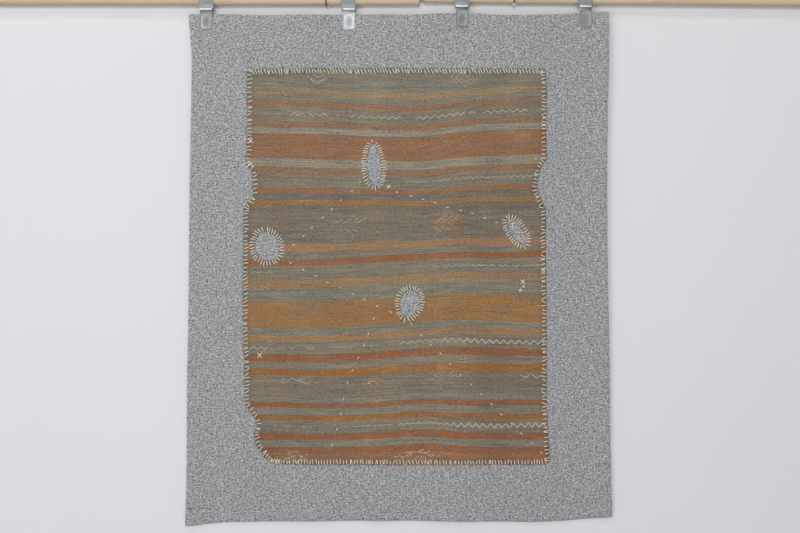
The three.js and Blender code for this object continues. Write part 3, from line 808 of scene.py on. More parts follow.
def make_rug():
    """The rug: its worn outline and holes filled with an even net of triangles."""
    pitch = settings().cloth.rug_mesh
    outer = frayed(rug_edge(), 0.35 * MM, 5)
    holes = [frayed(hole_edge(hole), 0.4 * MM, 20 + i) for i, hole in enumerate(HOLES)]
    luck = np.random.default_rng(11)
    xs = np.arange(RUG_NET["left"], RUG_NET["right"], pitch)
    zs = np.arange(RUG_NET["foot"], RUG_NET["top"], pitch * 0.9)
    net = np.array([(x + (row % 2) * pitch / 2, z) for row, z in enumerate(zs) for x in xs])
    net = net + luck.uniform(-0.12, 0.12, net.shape) * pitch
    keep = inside(net, outer) & (distance(net, outer) > pitch * 0.5)
    for hole in holes:
        keep &= ~inside(net, hole) & (distance(net, hole) > pitch * 0.5)
    flat = np.vstack([outer, *holes, net[keep]])
    edges, rims, start = [], [], 0
    for outline in (outer, *holes):
        rim = np.arange(start, start + len(outline))
        edges += [(int(i), int(start + (i + 1 - start) % len(outline))) for i in rim]
        rims.append(rim)
        start += len(outline)
    net_points, _, triangles, *_ = delaunay_2d_cdt([Vector(p) for p in flat], edges, [], 0, 1e-8)
    if len(net_points) != len(flat):
        raise RuntimeError("the rug's net of triangles gained or lost points")
    triangles = np.array(triangles)
    middles = flat[triangles].mean(axis=1)
    keep = inside(middles, outer)
    for hole in holes:
        keep &= ~inside(middles, hole)
    farthest = 0.1
    edge = np.minimum(distance(flat, outer), farthest)
    weave = np.stack([flat[:, 0], woven_depth(flat[:, 0], flat[:, 1]), edge], axis=1)
    piece = closed_sheet(
        "striped_rug", flat, triangles[keep].tolist(), rims, RUG_FRONT, RUG_BACK,
        rug_finish(), weave,
    )
    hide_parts("rug")


# Thread


class Threads:
    """Gathers short lengths of thread into one mesh."""

    def __init__(self, sides=6):
        self.sides = sides
        self.points, self.faces, self.twist = [], [], []

    def lay(self, path, width, height, mark=0.0, tone=1.0, ends=0.55):
        """Adds one thread along a path, oval in section, with eased ends.

        Without a mark, a thread carries how far round it each point lies.
        """
        path = np.asarray(path, float)
        along = np.gradient(path, axis=0)
        along /= np.linalg.norm(along, axis=1, keepdims=True)
        side = np.cross(along, FRONT)
        side /= np.linalg.norm(side, axis=1, keepdims=True)
        up = np.cross(side, along)
        reach = np.concatenate([[0], np.cumsum(np.linalg.norm(np.diff(path, axis=0), axis=1))])
        girth = np.ones(len(path))
        girth[[0, -1]] = ends
        turn = np.arange(self.sides) / self.sides * 2 * math.pi
        rings = (
            path[:, None]
            + side[:, None] * (np.cos(turn)[None, :, None] * (girth * width / 2)[:, None, None])
            + up[:, None] * (np.sin(turn)[None, :, None] * (girth * height / 2)[:, None, None])
        )
        start = sum(len(p) for p in self.points)
        caps = path[[0, -1]] + along[[0, -1]] * np.array([[-0.3], [0.3]]) * width * ends
        self.points.append(np.vstack([rings.reshape(-1, 3), caps]))
        around = np.tile(turn / (2 * math.pi), len(path))
        second = around if mark is None else np.full(len(around), mark)
        twist = np.stack([np.repeat(reach, self.sides), second, np.full(len(around), tone)], axis=1)
        self.twist.append(np.vstack([twist, twist[:1], twist[-1:]]))
        count = self.sides
        for ring in range(len(path) - 1):
            for i in range(count):
                a, b = start + ring * count + i, start + ring * count + (i + 1) % count
                self.faces.append((a, b, b + count, a + count))
        first, last = start + len(path) * count, start + len(path) * count + 1
        tail = start + (len(path) - 1) * count
        for i in range(count):
            self.faces.append((start + (i + 1) % count, start + i, first))
            self.faces.append((tail + i, tail + (i + 1) % count, last))

    def piece(self, name, material, slot):
        piece = new_piece(name, np.vstack(self.points), self.faces, material,
                          {"twist": np.vstack(self.twist)})
        check = bmesh.new()
        check.from_mesh(piece.data)
        if check.calc_volume(signed=True) < 0:
            bmesh.ops.reverse_faces(check, faces=check.faces)
            check.to_mesh(piece.data)
        check.free()


def over_surface(flat, depth):
    """Points at a depth in front of or behind the cloth's mid plane, on its folds."""
    flat = np.asarray(flat, float)
    return np.stack([flat[:, 0], depth - cloth_lift(flat[:, 0], flat[:, 1]), flat[:, 1]], axis=1)


def whip_stitch(threads, behind, outer, inner, following, luck):
    """One stitch from the grey cloth over the rug's edge, and its run on to the next behind."""
    width = settings().cloth.thread_width
    share = np.array([0, 0.08, 0.19, 0.4, 0.62, 0.86, 1.0])
    sway = luck.uniform(-0.35, 0.35) * MM
    across = inner - outer
    side = np.array([-across[1], across[0]]) / np.linalg.norm(across)
    flat = outer + across * share[:, None] + side * (np.sin(share * math.pi) * sway)[:, None]
    climb = np.array([-0.4, -1.4, -3.3, -3.7, -3.75, -3.65, -2.7]) * MM
    tone = luck.uniform(0.7, 1)
    threads.lay(over_surface(flat, climb), width, width * 0.72, None, tone, 0.7)
    if following is not None:
        back = np.array([0.2, 1.15, 1.3, 1.15, 0.2]) * MM
        run = inner + (following - inner) * np.array([0, 0.14, 0.5, 0.86, 1])[:, None]
        behind.lay(over_surface(run, back), width * 0.9, width * 0.6, None, tone, 0.7)


def lean_of(normal, luck):
    """How far a stitch leans: most at the top, and either way at the sides."""
    up, right = normal[1], normal[0]
    if abs(up) > abs(right):
        return (luck.gauss(5, 1.2) if up > 0 else luck.gauss(1.2, 1.6)) * MM
    return (luck.gauss(0.5, 3.2) if right > 0 else luck.gauss(2.4, 2.4)) * MM


# Round the rug's edge, a draw under the first share makes a cross, and under the second a pair of
# stitches that meet
CROSS_SHARE, PAIR_SHARE = 0.06, 0.15
CROSS_ARM, PAIR_ARM = 3.4 * MM, 2.6 * MM


def stitch_edge(threads, behind, outline, pitch, reach, seed, hole=False):
    """Whip stitches along an outline, with the odd cross and the odd pair that meets."""
    luck = random.Random(seed)
    fine = resampled(outline, FINE_STEP)
    normals, alongs = outward(fine, 14)
    place, marks = 0.0, []
    while place < len(fine) - 0.55 * pitch / FINE_STEP:
        at = int(place)
        normal, along = normals[at], alongs[at]
        lean = luck.gauss(1.6, 1.2) * MM if hole else lean_of(normal, luck)
        deep = reach * luck.uniform(0.8, 1.12)
        close = 0.78 if not hole and abs(normal[1]) > abs(normal[0]) else 1.0
        over = luck.uniform(0.9, 2.6) if hole else luck.uniform(0.3, 1.6)
        outer = fine[at] + normal * over * MM
        inner = fine[at] - normal * deep
        kind = luck.random()
        if not hole and kind < CROSS_SHARE:
            marks.append((outer - along * CROSS_ARM, inner + along * CROSS_ARM))
            marks.append((outer + along * CROSS_ARM, inner - along * CROSS_ARM))
        elif not hole and kind < PAIR_SHARE:
            marks.append((outer - along * PAIR_ARM, inner))
            marks.append((outer + along * PAIR_ARM, inner + along * 0.8 * MM))
            place += 0.35 * pitch / FINE_STEP
        else:
            marks.append((outer - along * lean / 2, inner + along * lean / 2))
        place += close * pitch * luck.uniform(0.78, 1.22) / FINE_STEP
    for i, (outer, inner) in enumerate(marks):
        whip_stitch(threads, behind, outer, inner, marks[(i + 1) % len(marks)][0], luck)


# Lines of basting: x and z of both ends in millimetres, and how many stitches show
BASTING = [
    {"from": (-86, -408), "to": (-233, -547), "stitches": 8},
    {"from": (-240, -588), "to": (-22, -694), "stitches": 9},
    {"from": (-57, -712), "to": (-115, -849), "stitches": 6},
    {"from": (-123, -885), "to": (-149, -985), "stitches": 4},
    {"from": (25, -723), "to": (109, -808), "stitches": 5},
    {"from": (135, -831), "to": (311, -1003), "stitches": 9},
    {"from": (-4, -430), "to": (213, -496), "stitches": 9},
]
# Cross stitches in the rug: x, z, arm length and turn in degrees
CROSSES = [
    {"x": -25, "z": -419, "arm": 11, "turn": 20},
    {"x": -308, "z": -789, "arm": 16, "turn": 0},
    {"x": -328, "z": -318, "arm": 15, "turn": 4},
    {"x": -327, "z": -369, "arm": 14, "turn": -6},
    {"x": 315, "z": -602, "arm": 12, "turn": 5},
    {"x": -242.5, "z": -1022.8, "arm": 4.5, "turn": 0},
    {"x": 269.5, "z": -627, "arm": 13, "turn": 8},
    {"x": 264, "z": -645.5, "arm": 9, "turn": 30},
    {"x": 271, "z": -637, "arm": 7, "turn": 60},
]


def laid_stitch(threads, start, end, tone, width):
    """A short stitch on the rug's face, between two points in x and z."""
    start, end = np.asarray(start, float), np.asarray(end, float)
    flat = start + (end - start) * np.array([0, 0.18, 0.5, 0.82, 1])[:, None]
    climb = np.array([-2.7, -3.6, -3.85, -3.6, -2.7]) * MM
    threads.lay(over_surface(flat, climb), width, width * 0.75, None, tone, 0.6)


def make_sewing():
    """All the sewing: whip stitches, basting and crosses, and their runs behind the cloth."""
    chosen = settings().cloth
    edge, behind, rings, field = Threads(), Threads(5), Threads(), Threads()
    stitch_edge(edge, behind, rug_edge(), chosen.edge_pitch, chosen.stitch_reach, 3)
    for i, hole in enumerate(HOLES):
        outline = hole_edge(hole)
        stitch_edge(rings, behind, outline, chosen.hole_pitch, chosen.stitch_reach, 40 + i, True)
    luck = random.Random(9)
    width = chosen.thread_width
    for line in BASTING:
        start, end = (np.array(line[k]) * MM for k in ("from", "to"))
        along = (end - start) / np.linalg.norm(end - start)
        ends = []
        for i in range(line["stitches"]):
            spot = start + (end - start) * i / (line["stitches"] - 1)
            spot = spot + np.array([luck.gauss(0, 1.3), luck.gauss(0, 1.0)]) * MM
            half = along * luck.uniform(2.4, 3.9) * MM
            ends.append((spot - half, spot + half))
            laid_stitch(field, *ends[-1], luck.uniform(0.7, 1), width)
        for (_, a), (b, _) in zip(ends, ends[1:]):
            share = np.array([0, 0.06, 0.5, 0.94, 1])[:, None]
            back = np.array([0.2, 1.1, 1.2, 1.1, 0.2]) * MM
            run = over_surface(a + (b - a) * share, back)
            behind.lay(run, width * 0.8, width * 0.5, None, 0.8, 0.7)
    for cross in CROSSES:
        middle = np.array([cross["x"], cross["z"]]) * MM
        for diagonal in (45, 135):
            turn = math.radians(diagonal + cross["turn"])
            arm = np.array([math.cos(turn), math.sin(turn)])
            arm = arm * cross["arm"] * 0.5 * luck.uniform(0.9, 1.1) * MM
            laid_stitch(field, middle - arm, middle + arm, 1.0, width)
    cotton = thread_finish()
    edge.piece("edge_whip_stitches", cotton, "rug")
    rings.piece("hole_whip_stitches", cotton, "rug")
    field.piece("basting_and_crosses", cotton, "rug")
    behind.piece("stitch_runs_behind", cotton, "backing_cloth")


# Dark specks on the grey cloth, and one thick weft near its foot with its knot, as x and z in
# millimetres
SPECKS = [
    (-405, -1077), (-350, -1099), (-84, -1114), (359, -1129), (-425, -287), (-372, -1150),
    (-37, -46), (378, -943), (154, -1143), (242, -1143), (-147, -1068), (-220, -1088), (-59, -1128),
]
SLUB = [(-468, -1125.5), (-452, -1124.8), (-446.6, -1125.2), (-430, -1124.6), (-416, -1125.6)]
SLUB_KNOT = [(-448.2, -1125), (-446.8, -1124), (-445.4, -1125.4), (-446.8, -1126.2)]
# How far under the edge a loose end starts, and the usual distance in millimetres between two
HAIR_ROOT, EDGE_HAIR_PITCH, HOLE_HAIR_PITCH = 1.2 * MM, 4.4, 2.2


def make_fray():
    """Broken ends of weft and warp that stick out at the rug's edge and in its holes."""
    luck, hairs = random.Random(77), Threads(3)
    edges = [(rug_edge(), EDGE_HAIR_PITCH)] + [(hole_edge(hole), HOLE_HAIR_PITCH) for hole in HOLES]
    for outline, pitch in edges:
        fine = resampled(outline, FINE_STEP)
        normals, alongs = outward(fine, 6)
        place = 0.0
        while place < len(fine) - 1:
            at = int(place)
            out, side = luck.uniform(1.0, 4.2) * MM, luck.gauss(0, 1.6) * MM
            share = np.array([0, 0.4, 0.75, 1])
            flat = fine[at] + normals[at] * (share * (out + HAIR_ROOT) - HAIR_ROOT)[:, None]
            flat = flat + alongs[at] * (share**2 * side)[:, None]
            hair = over_surface(flat, np.array([-2.5, -2.4, -2.0, -1.35]) * MM)
            hairs.lay(hair, 0.8 * MM, 0.6 * MM, luck.random(), luck.uniform(0.6, 1), 0.5)
            place += pitch * FINE_STEPS_PER_MM * luck.uniform(0.3, 1.7)
    dyes = settings().dyes
    dark = tuple(0.35 * c for c in dyes.slate)
    stops = [(0, dark), (0.42, dyes.slate), (0.6, dyes.warp), (0.86, dyes.sage)]
    hairs.piece("loose_ends", loose_finish("loose_ends", stops, 0.7), "rug")


def make_specks():
    """Dark specks caught in the grey cloth, and one thick weft with its knot."""
    luck, tufts = random.Random(55), Threads(5)
    for x, z in SPECKS:
        turn = luck.uniform(-0.6, 0.6)
        arm = np.array([math.cos(turn), math.sin(turn)]) * luck.uniform(1.1, 2.0)
        flat = (np.array([x, z]) + np.outer((-1, -0.3, 0.4, 1), arm)) * MM
        speck = over_surface(flat, np.array([-0.7, -1.2, -1.25, -0.7]) * MM)
        tufts.lay(speck, 1.9 * MM, 0.9 * MM, 0.1)
    for (ax, az), (bx, bz) in zip(SLUB, SLUB[1:]):
        share = np.array([0, 0.25, 0.5, 0.75, 1])[:, None]
        flat = (np.array([ax, az]) + np.array([bx - ax, bz - az]) * share) * MM
        slub = over_surface(flat, np.array([-0.8, -1.1, -1.2, -1.1, -0.8]) * MM)
        tufts.lay(slub, 1.5 * MM, 0.8 * MM, 0.5, luck.uniform(0.8, 1))
    knot = over_surface(np.array(SLUB_KNOT) * MM, np.array([-0.9, -1.9, -1.9, -0.9]) * MM)
    tufts.lay(knot, 2 * MM, 1.6 * MM, 0.9)
    cloth = settings().cloth
    dark = tuple(0.3 * c for c in cloth.dark_yarn)
    stops = [(0, dark), (0.3, cloth.dark_yarn), (0.7, cloth.thread)]
    tufts.piece("specks_and_slub", loose_finish("specks_and_slub", stops, 0.75), "backing_cloth")


# Brocade

# Zigzags: depth, from and to in millimetres across, height of the wave, length of a wave, share
# of the yarn that is left, and how bright it is
ZIGZAGS = [
    (256.3, -325, -245, 1.4, 16.5, 0.5, 0.35), (256.3, -240, -160, 3.8, 16.5, 0.95, 0.65),
    (256.3, -150, -112, 2.0, 16.5, 0.5, 0.4), (256.3, -108, 10, 3.8, 16.5, 0.95, 0.7),
    (256.3, 35, 172, 4.0, 16.5, 0.95, 0.75), (256.3, 183, 282, 3.8, 16.5, 0.95, 0.7),
    (256.3, 284, 315, 2.0, 16.5, 0.7, 0.4),
    (402.2, -290, -190, 1.2, 14, 0.3, 0.3), (402.2, 14, 90, 2.2, 14, 0.8, 0.5),
    (402.2, 90, 300, 2.6, 14, 0.9, 0.6),
    (607.2, -326, -275, 2.2, 15, 0.9, 0.5), (607.2, 70, 150, 2.2, 15, 0.85, 0.6),
    (607.2, 150, 318, 1.6, 15, 0.9, 0.7),
    (772.7, -330, -285, 3.6, 16, 0.95, 0.75), (772.7, -285, -176, 0.9, 18, 0.6, 0.5),
    (772.7, -140, -25, 1.4, 16, 0.6, 0.5), (772.7, 0, 90, 3.2, 16.3, 1, 0.75),
    (772.7, 90, 318, 5.0, 16.3, 1, 0.9),
    (944.3, -305, -190, 0.8, 14, 0.55, 0.5), (944.3, -135, -14, 0.9, 14, 0.7, 0.55),
    (944.3, -4, 108, 2.0, 12.5, 1, 0.75), (944.3, 110, 322, 5.0, 16.3, 1, 0.95),
]
CREAM, ORANGE, RUST = 0.0, 0.45, 0.9
# Depths of brocade yarn from the cloth's mid plane, along it and at its ends, and its thickness
YARN_DEPTH, YARN_END_DEPTH, YARN_THICKNESS = -3.2 * MM, -2.8 * MM, 0.55 * MM
# The usual length of a stroke of motif yarn, in millimetres. Orange ones are laid whole
STROKE = 8
MOTIF_WIDTH, ORANGE_WIDTH = 1.9 * MM, 2.3 * MM


def laid_yarn(threads, flat, dye, strength, width):
    """Brocade yarn on the rug's face along points in x and depth."""
    flat = np.asarray(flat, float) * MM
    z = -(flat[:, 1] + weft_bow(flat[:, 0], flat[:, 1]))
    on_rug = np.stack([flat[:, 0], z], axis=1)
    depth = np.full(len(flat), YARN_DEPTH)
    depth[[0, -1]] = YARN_END_DEPTH
    threads.lay(over_surface(on_rug, depth), width, YARN_THICKNESS, dye, strength, 0.6)


def make_zigzags(threads):
    """Rows of slanted strokes. Where a row is worn, some strokes are gone."""
    luck = random.Random(21)
    for depth, start, end, height, length, left, strength in ZIGZAGS:
        x, side = start, 1
        while x < end - length / 4:
            ahead = min(x + length / 2 * luck.uniform(0.92, 1.08), end)
            rise = height * luck.uniform(0.85, 1.1)
            if luck.random() < left:
                middle = depth + luck.gauss(0, 0.25)
                a = np.array((x - 0.5, middle + side * rise))
                b = np.array((ahead + 0.5, middle - side * rise))
                points = [a + (b - a) * share for share in (0, 0.12, 0.5, 0.88, 1)]
                shade = strength * luck.uniform(0.8, 1.15)
                laid_yarn(threads, points, CREAM, shade, (1.5 + 0.7 * strength) * MM)
            x, side = ahead, -side


# Worn motifs: dye, brightness, and the path of the yarn in millimetres across and down
MOTIFS = [
    # The arrow of chevrons that points left
    (ORANGE, 0.95, [(67, 502), (100.5, 480)]), (ORANGE, 0.95, [(83.5, 502), (115.5, 480)]),
    (ORANGE, 0.95, [(97.5, 502.5), (129.5, 480)]), (ORANGE, 0.95, [(111, 502), (143, 480)]),
    (ORANGE, 0.6, [(69, 503), (89, 517)]), (ORANGE, 0.85, [(84, 503), (103.5, 516)]),
    (ORANGE, 0.85, [(98, 503), (116.5, 513)]), (ORANGE, 0.95, [(111.5, 503), (132, 512.5)]),
    (CREAM, 0.5, [(76, 500), (103, 481.5)]), (CREAM, 0.5, [(91, 500), (117, 482)]),
    (CREAM, 0.45, [(105, 500), (131, 482)]), (CREAM, 0.4, [(92, 505.5), (108, 514)]),
    (CREAM, 0.4, [(76, 507), (90, 517)]),
    # The faded herringbone left of the middle
    (CREAM, 0.45, [(-144, 498), (-126, 490)]), (CREAM, 0.4, [(-125, 499.5), (-107, 490)]),
    (CREAM, 0.45, [(-102.5, 494), (-90, 489)]), (CREAM, 0.55, [(-94.5, 498.5), (-73.5, 487.5)]),
    (CREAM, 0.35, [(-118, 513.5), (-105.5, 520)]), (CREAM, 0.4, [(-103.5, 513.5), (-93, 518)]),
    (CREAM, 0.22, [(-154, 510.5), (-143, 515)]), (CREAM, 0.22, [(-136, 511), (-125, 517)]),
    (CREAM, 0.3, [(-104, 523), (-104, 535)]), (CREAM, 0.2, [(-150, 504), (-137, 510)]),
    (CREAM, 0.2, [(-131, 504), (-118, 510)]), (CREAM, 0.2, [(-112, 503), (-99, 509)]),
    # Faded red strokes beside the left hole
    (RUST, 0.75, [(-284, 499), (-265, 488)]), (RUST, 0.6, [(-271.5, 502.5), (-253, 490.5)]),
    (RUST, 0.75, [(-259, 504), (-249.5, 497)]), (RUST, 0.85, [(-246.5, 501.5), (-230, 494.5)]),
    (RUST, 0.7, [(-275.5, 513.5), (-269, 517)]), (RUST, 0.7, [(-262, 514), (-256, 516)]),
    # Half diamonds at the top edge
    (RUST, 0.6, [(-211.5, 173.5), (-183.5, 199)]), (RUST, 0.6, [(-181.5, 200), (-147, 178.5)]),
    (CREAM, 0.5, [(-203, 175), (-186.5, 191), (-163, 180)]),
    (RUST, 0.55, [(-197.5, 172), (-185, 184.5), (-160, 172)]),
    (CREAM, 0.5, [(-191, 172), (-177, 180), (-166, 172)]),
    (CREAM, 0.5, [(-196, 182), (-187, 191)]), (CREAM, 0.45, [(-181, 193), (-158, 181)]),
    (ORANGE, 0.6, [(-176, 169), (-168, 166), (-158, 171)]),
    (CREAM, 0.5, [(121, 179.5), (144, 199), (172.5, 179.5)]),
    (CREAM, 0.5, [(132, 178), (145, 189), (163, 176)]),
    (CREAM, 0.5, [(138.5, 172.5), (147.5, 179.5), (156, 172.5)]),
    (CREAM, 0.4, [(112, 179), (125, 166)]), (CREAM, 0.45, [(121, 184), (136, 168)]),
    (RUST, 0.4, [(150, 172), (158, 169), (167, 175)]), (CREAM, 0.35, [(128, 187), (139, 177)]),
    # Branches in the wide stripe above the foot
    (CREAM, 0.5, [(-264, 848), (-257, 849.5), (-247.5, 846.5), (-240, 841.5), (-233.5, 841)]),
    (CREAM, 0.6, [(-233.5, 841), (-227, 844), (-216, 845.5), (-209, 851), (-200.5, 852)]),
    (CREAM, 0.45, [(-200.5, 852), (-193.5, 846.5)]), (CREAM, 0.5, [(-261, 842.5), (-249.5, 841.5)]),
    (CREAM, 0.4, [(-282, 847), (-276, 847)]), (CREAM, 0.5, [(-227, 845), (-214, 841.5)]),
    (ORANGE, 0.8, [(-81, 845), (-76, 844)]), (ORANGE, 0.8, [(-70, 841), (-59, 840), (-51, 844)]),
    (ORANGE, 0.8, [(-53, 843.5), (-37, 842.5)]), (ORANGE, 0.6, [(-56, 840.5), (-38, 840.5)]),
    (CREAM, 0.7, [(-80.5, 851.5), (-76, 851.5)]), (CREAM, 0.85, [(-71, 851), (-65, 851)]),
    (CREAM, 0.6, [(-51.5, 851), (-46.5, 851)]), (CREAM, 0.6, [(-70, 847), (-62, 845), (-52, 848)]),
    (CREAM, 0.5, [(74, 832), (85, 837)]), (CREAM, 0.4, [(85, 832), (96, 830.5)]),
    (CREAM, 0.5, [(102, 834.5), (116.5, 827.5)]), (CREAM, 0.55, [(111.5, 836), (124, 830.5)]),
    (CREAM, 0.35, [(121, 837.5), (135, 834.5)]), (ORANGE, 0.7, [(94.5, 837.5), (102, 839)]),
    (ORANGE, 0.75, [(105.5, 840), (114.5, 838.5)]), (ORANGE, 0.7, [(85, 843), (91, 843)]),
    (CREAM, 0.4, [(86, 841), (93, 838)]),
    (CREAM, 0.65, [(262.5, 833), (278, 837), (287.5, 829), (295.5, 835.5), (305, 841.5)]),
    (CREAM, 0.6, [(267, 842.5), (279.5, 837)]), (CREAM, 0.7, [(303.5, 835.5), (312.5, 834)]),
    # Arched lattices at the foot
    (CREAM, 0.75, [(-255, 1017.5), (-241.6, 1014), (-230.6, 1009)]),
    (CREAM, 0.75, [(-231.5, 1015), (-225, 1027)]), (CREAM, 0.65, [(-217.5, 1014.5), (-227, 1027)]),
    (CREAM, 0.7, [(-221, 1009), (-212.3, 1012.7), (-206, 1020)]),
    (CREAM, 0.4, [(-216, 1015), (-213, 1023)]), (CREAM, 0.4, [(-245.5, 1002), (-233, 1001.5)]),
    (CREAM, 0.4, [(-231, 1001), (-222, 1000.5)]),
    (CREAM, 0.35, [(-245.5, 1006), (-239, 1006)]), (CREAM, 0.3, [(-209, 1005), (-202, 1006)]),
    (CREAM, 0.6, [(-14.7, 1013), (-6.4, 1012)]), (CREAM, 0.5, [(-12.8, 1019), (0, 1019)]),
    (CREAM, 0.55, [(-2.5, 1007), (5.5, 1013)]), (CREAM, 0.65, [(2, 1015.7), (11, 1011), (26, 1003)]),
    (CREAM, 0.65, [(11, 1004), (19, 1002), (30.5, 998.5)]),
    (CREAM, 0.65, [(19.3, 1006.5), (34.8, 1000)]),
    (CREAM, 0.7, [(36.7, 1002), (51.3, 996.4)]), (CREAM, 0.6, [(38.5, 1001), (51.3, 1003.8)]),
    (CREAM, 0.65, [(49.5, 1004.7), (66, 1000)]), (CREAM, 0.6, [(53.2, 1002), (66, 1010.2)]),
    (CREAM, 0.55, [(64.2, 1008.3), (73.3, 1005)]), (CREAM, 0.5, [(66, 1012), (77, 1007.4)]),
    (CREAM, 0.45, [(80.7, 1012), (88, 1008.3)]), (CREAM, 0.45, [(14.7, 1012), (27.5, 1008.3)]),
    (ORANGE, 0.5, [(14.5, 1014), (22, 1011), (31, 1010.5)]),
    (ORANGE, 0.5, [(36, 1011), (47, 1008.5)]),
    (CREAM, 0.5, [(34.8, 1013.8), (44, 1012), (55, 1012), (58.7, 1015.7)]),
    (CREAM, 0.5, [(16.5, 1016.6), (20.2, 1021.2), (19.3, 1025.7)]),
    (CREAM, 0.5, [(23.8, 1017.5), (29.3, 1021.2), (25.7, 1024)]),
    (CREAM, 0.5, [(29.3, 1015.7), (38.5, 1016.6)]),
    (CREAM, 0.55, [(40.3, 1019.3), (47.7, 1015.7), (51.3, 1019.3), (56, 1026.7)]),
]


def make_motifs(threads):
    """Yarn of the motifs. It lies where it is charted, so the weft's bow is taken off first."""
    luck = random.Random(33)
    for dye, strength, path in MOTIFS:
        width = ORANGE_WIDTH if dye == ORANGE else MOTIF_WIDTH
        for start, end in zip(path, path[1:]):
            start, end = np.array(start, float), np.array(end, float)
            strokes = 1 if dye == ORANGE else max(1, round(np.linalg.norm(end - start) / STROKE))
            for i in range(strokes):
                shift = [luck.gauss(0, 0.35), luck.gauss(0, 0.35)]
                share = (i + np.array([0.02, 0.12, 0.5, 0.88, 0.98])[:, None]) / strokes
                points = start + (end - start) * share + shift
                points[:, 1] = woven_depth(points[:, 0] * MM, -points[:, 1] * MM) / MM
                laid_yarn(threads, points, dye, strength * luck.uniform(0.85, 1.45), width)


def make_brocade():
    threads = Threads(4)
    make_zigzags(threads)
    make_motifs(threads)
    threads.piece("brocade_yarn", brocade_finish(), "rug")


# Tools for the rigid pieces


def only(piece):
    bpy.ops.object.select_all(action="DESELECT")
    piece.select_set(True)
    bpy.context.view_layer.objects.active = piece


def added(name):
    """The primitive that was just added, named, with its place moved into its mesh."""
    piece = bpy.context.active_object
    piece.name = name
    only(piece)
    bpy.ops.object.transform_apply(location=True, rotation=True, scale=True)
    return piece


def upright_sheet(name, middle, width, height):
    """A flat upright rectangle that faces the front."""
    bpy.ops.mesh.primitive_plane_add(size=1, location=middle, rotation=(math.pi / 2, 0, 0))
    bpy.context.active_object.scale = (width, height, 1)
    return added(name)


def edit(piece):
    only(piece)
    bpy.ops.object.mode_set(mode="EDIT")
    bpy.ops.mesh.select_all(action="DESELECT")


def done():
    bpy.ops.object.mode_set(mode="OBJECT")


def pick(piece, kind, test):
    """Selects just those faces, edges or points in edit mode that pass a test."""
    bpy.ops.mesh.select_mode(type=kind)
    bpy.ops.mesh.select_all(action="DESELECT")
    mesh = bmesh.from_edit_mesh(piece.data)
    for part in {"VERT": mesh.verts, "EDGE": mesh.edges, "FACE": mesh.faces}[kind]:
        if test(part):
            part.select_set(True)
    mesh.select_flush_mode()
    bmesh.update_edit_mesh(piece.data)


def extrude_to(piece, y, z):
    """Carries the selected edge on to another depth and height."""
    mesh = bmesh.from_edit_mesh(piece.data)
    spot = next(v.co for v in mesh.verts if v.select)
    bpy.ops.mesh.extrude_edges_move(
        TRANSFORM_OT_translate={"value": (0, y - spot.y, z - spot.z)}
    )


def middle_of(edge):
    return (edge.verts[0].co + edge.verts[1].co) / 2


def apply(piece, kind, **values):
    """Adds a modifier and applies it."""
    only(piece)
    modifier = piece.modifiers.new(kind.title(), kind)
    for name, value in values.items():
        setattr(modifier, name, value)
    bpy.ops.object.modifier_apply(modifier=modifier.name)


def ease_edges(piece, width=0.25 * MM, segments=2, angle=50):
    """Rounds the edges that are sharper than an angle."""
    apply(piece, "BEVEL", width=width, segments=segments, limit_method="ANGLE",
          angle_limit=math.radians(angle))


def tidy_mesh(piece, angle=35):
    """Merges doubles, turns the faces outwards and smooths all but the sharp edges."""
    edit(piece)
    bpy.ops.mesh.select_all(action="SELECT")
    bpy.ops.mesh.remove_doubles(threshold=1e-6)
    bpy.ops.mesh.normals_make_consistent(inside=False)
    done()
    only(piece)
    bpy.ops.object.shade_smooth_by_angle(angle=math.radians(angle))


def settle(piece, material, slot, *nodes):
    """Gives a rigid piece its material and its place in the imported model."""
    piece.data.materials.clear()
    piece.data.materials.append(material)
    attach(piece, "root")
    if nodes:
        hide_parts(*nodes)


def round_bar(name, sides, radius, length, middle, ease, steps, upright=False):
    """A solid round bar with eased ends, along the pole or upright."""
    bpy.ops.mesh.primitive_cylinder_add(
        vertices=sides, radius=radius, depth=length, location=middle,
        rotation=(0, 0 if upright else math.pi / 2, 0),
    )
    bar = added(name)
    axis = 2 if upright else 0
    edit(bar)
    pick(bar, "EDGE", lambda e: abs(e.verts[0].co[axis] - e.verts[1].co[axis]) < NEAR)
    bpy.ops.mesh.bevel(offset=ease, segments=steps, affect="EDGES")
    done()
    return bar


def copied(piece):
    twin = piece.copy()
    twin.data = piece.data.copy()
    bpy.context.scene.collection.objects.link(twin)
    return twin


def joined(name, pieces):
    bpy.ops.object.select_all(action="DESELECT")
    for piece in pieces:
        piece.select_set(True)
    bpy.context.view_layer.objects.active = pieces[0]
    bpy.ops.object.join()
    pieces[0].name = name
    return pieces[0]


# Pole

# Where the two lengths end at the joint, and how far the pole reaches to either side
POLE_LEFT_END, POLE_RIGHT_END, POLE_REACH = 42 * MM, 53 * MM, 900 * MM
# How much higher the right length starts, how steeply it falls, and how far the ends are eased
POLE_STEP_UP, POLE_FALL, POLE_EASE = 5.8 * MM, math.radians(0.6), 2.4 * MM
JOINER_RADIUS, JOINER_REACH = 9.5 * MM, 35 * MM
LOOP_LEFT, LOOP_RIGHT = -162 * MM, 251 * MM
SLEEVE_RADIUS, SLEEVE_LENGTH, SLEEVE_DROP = 3 * MM, 4 * MM, 20.8 * MM


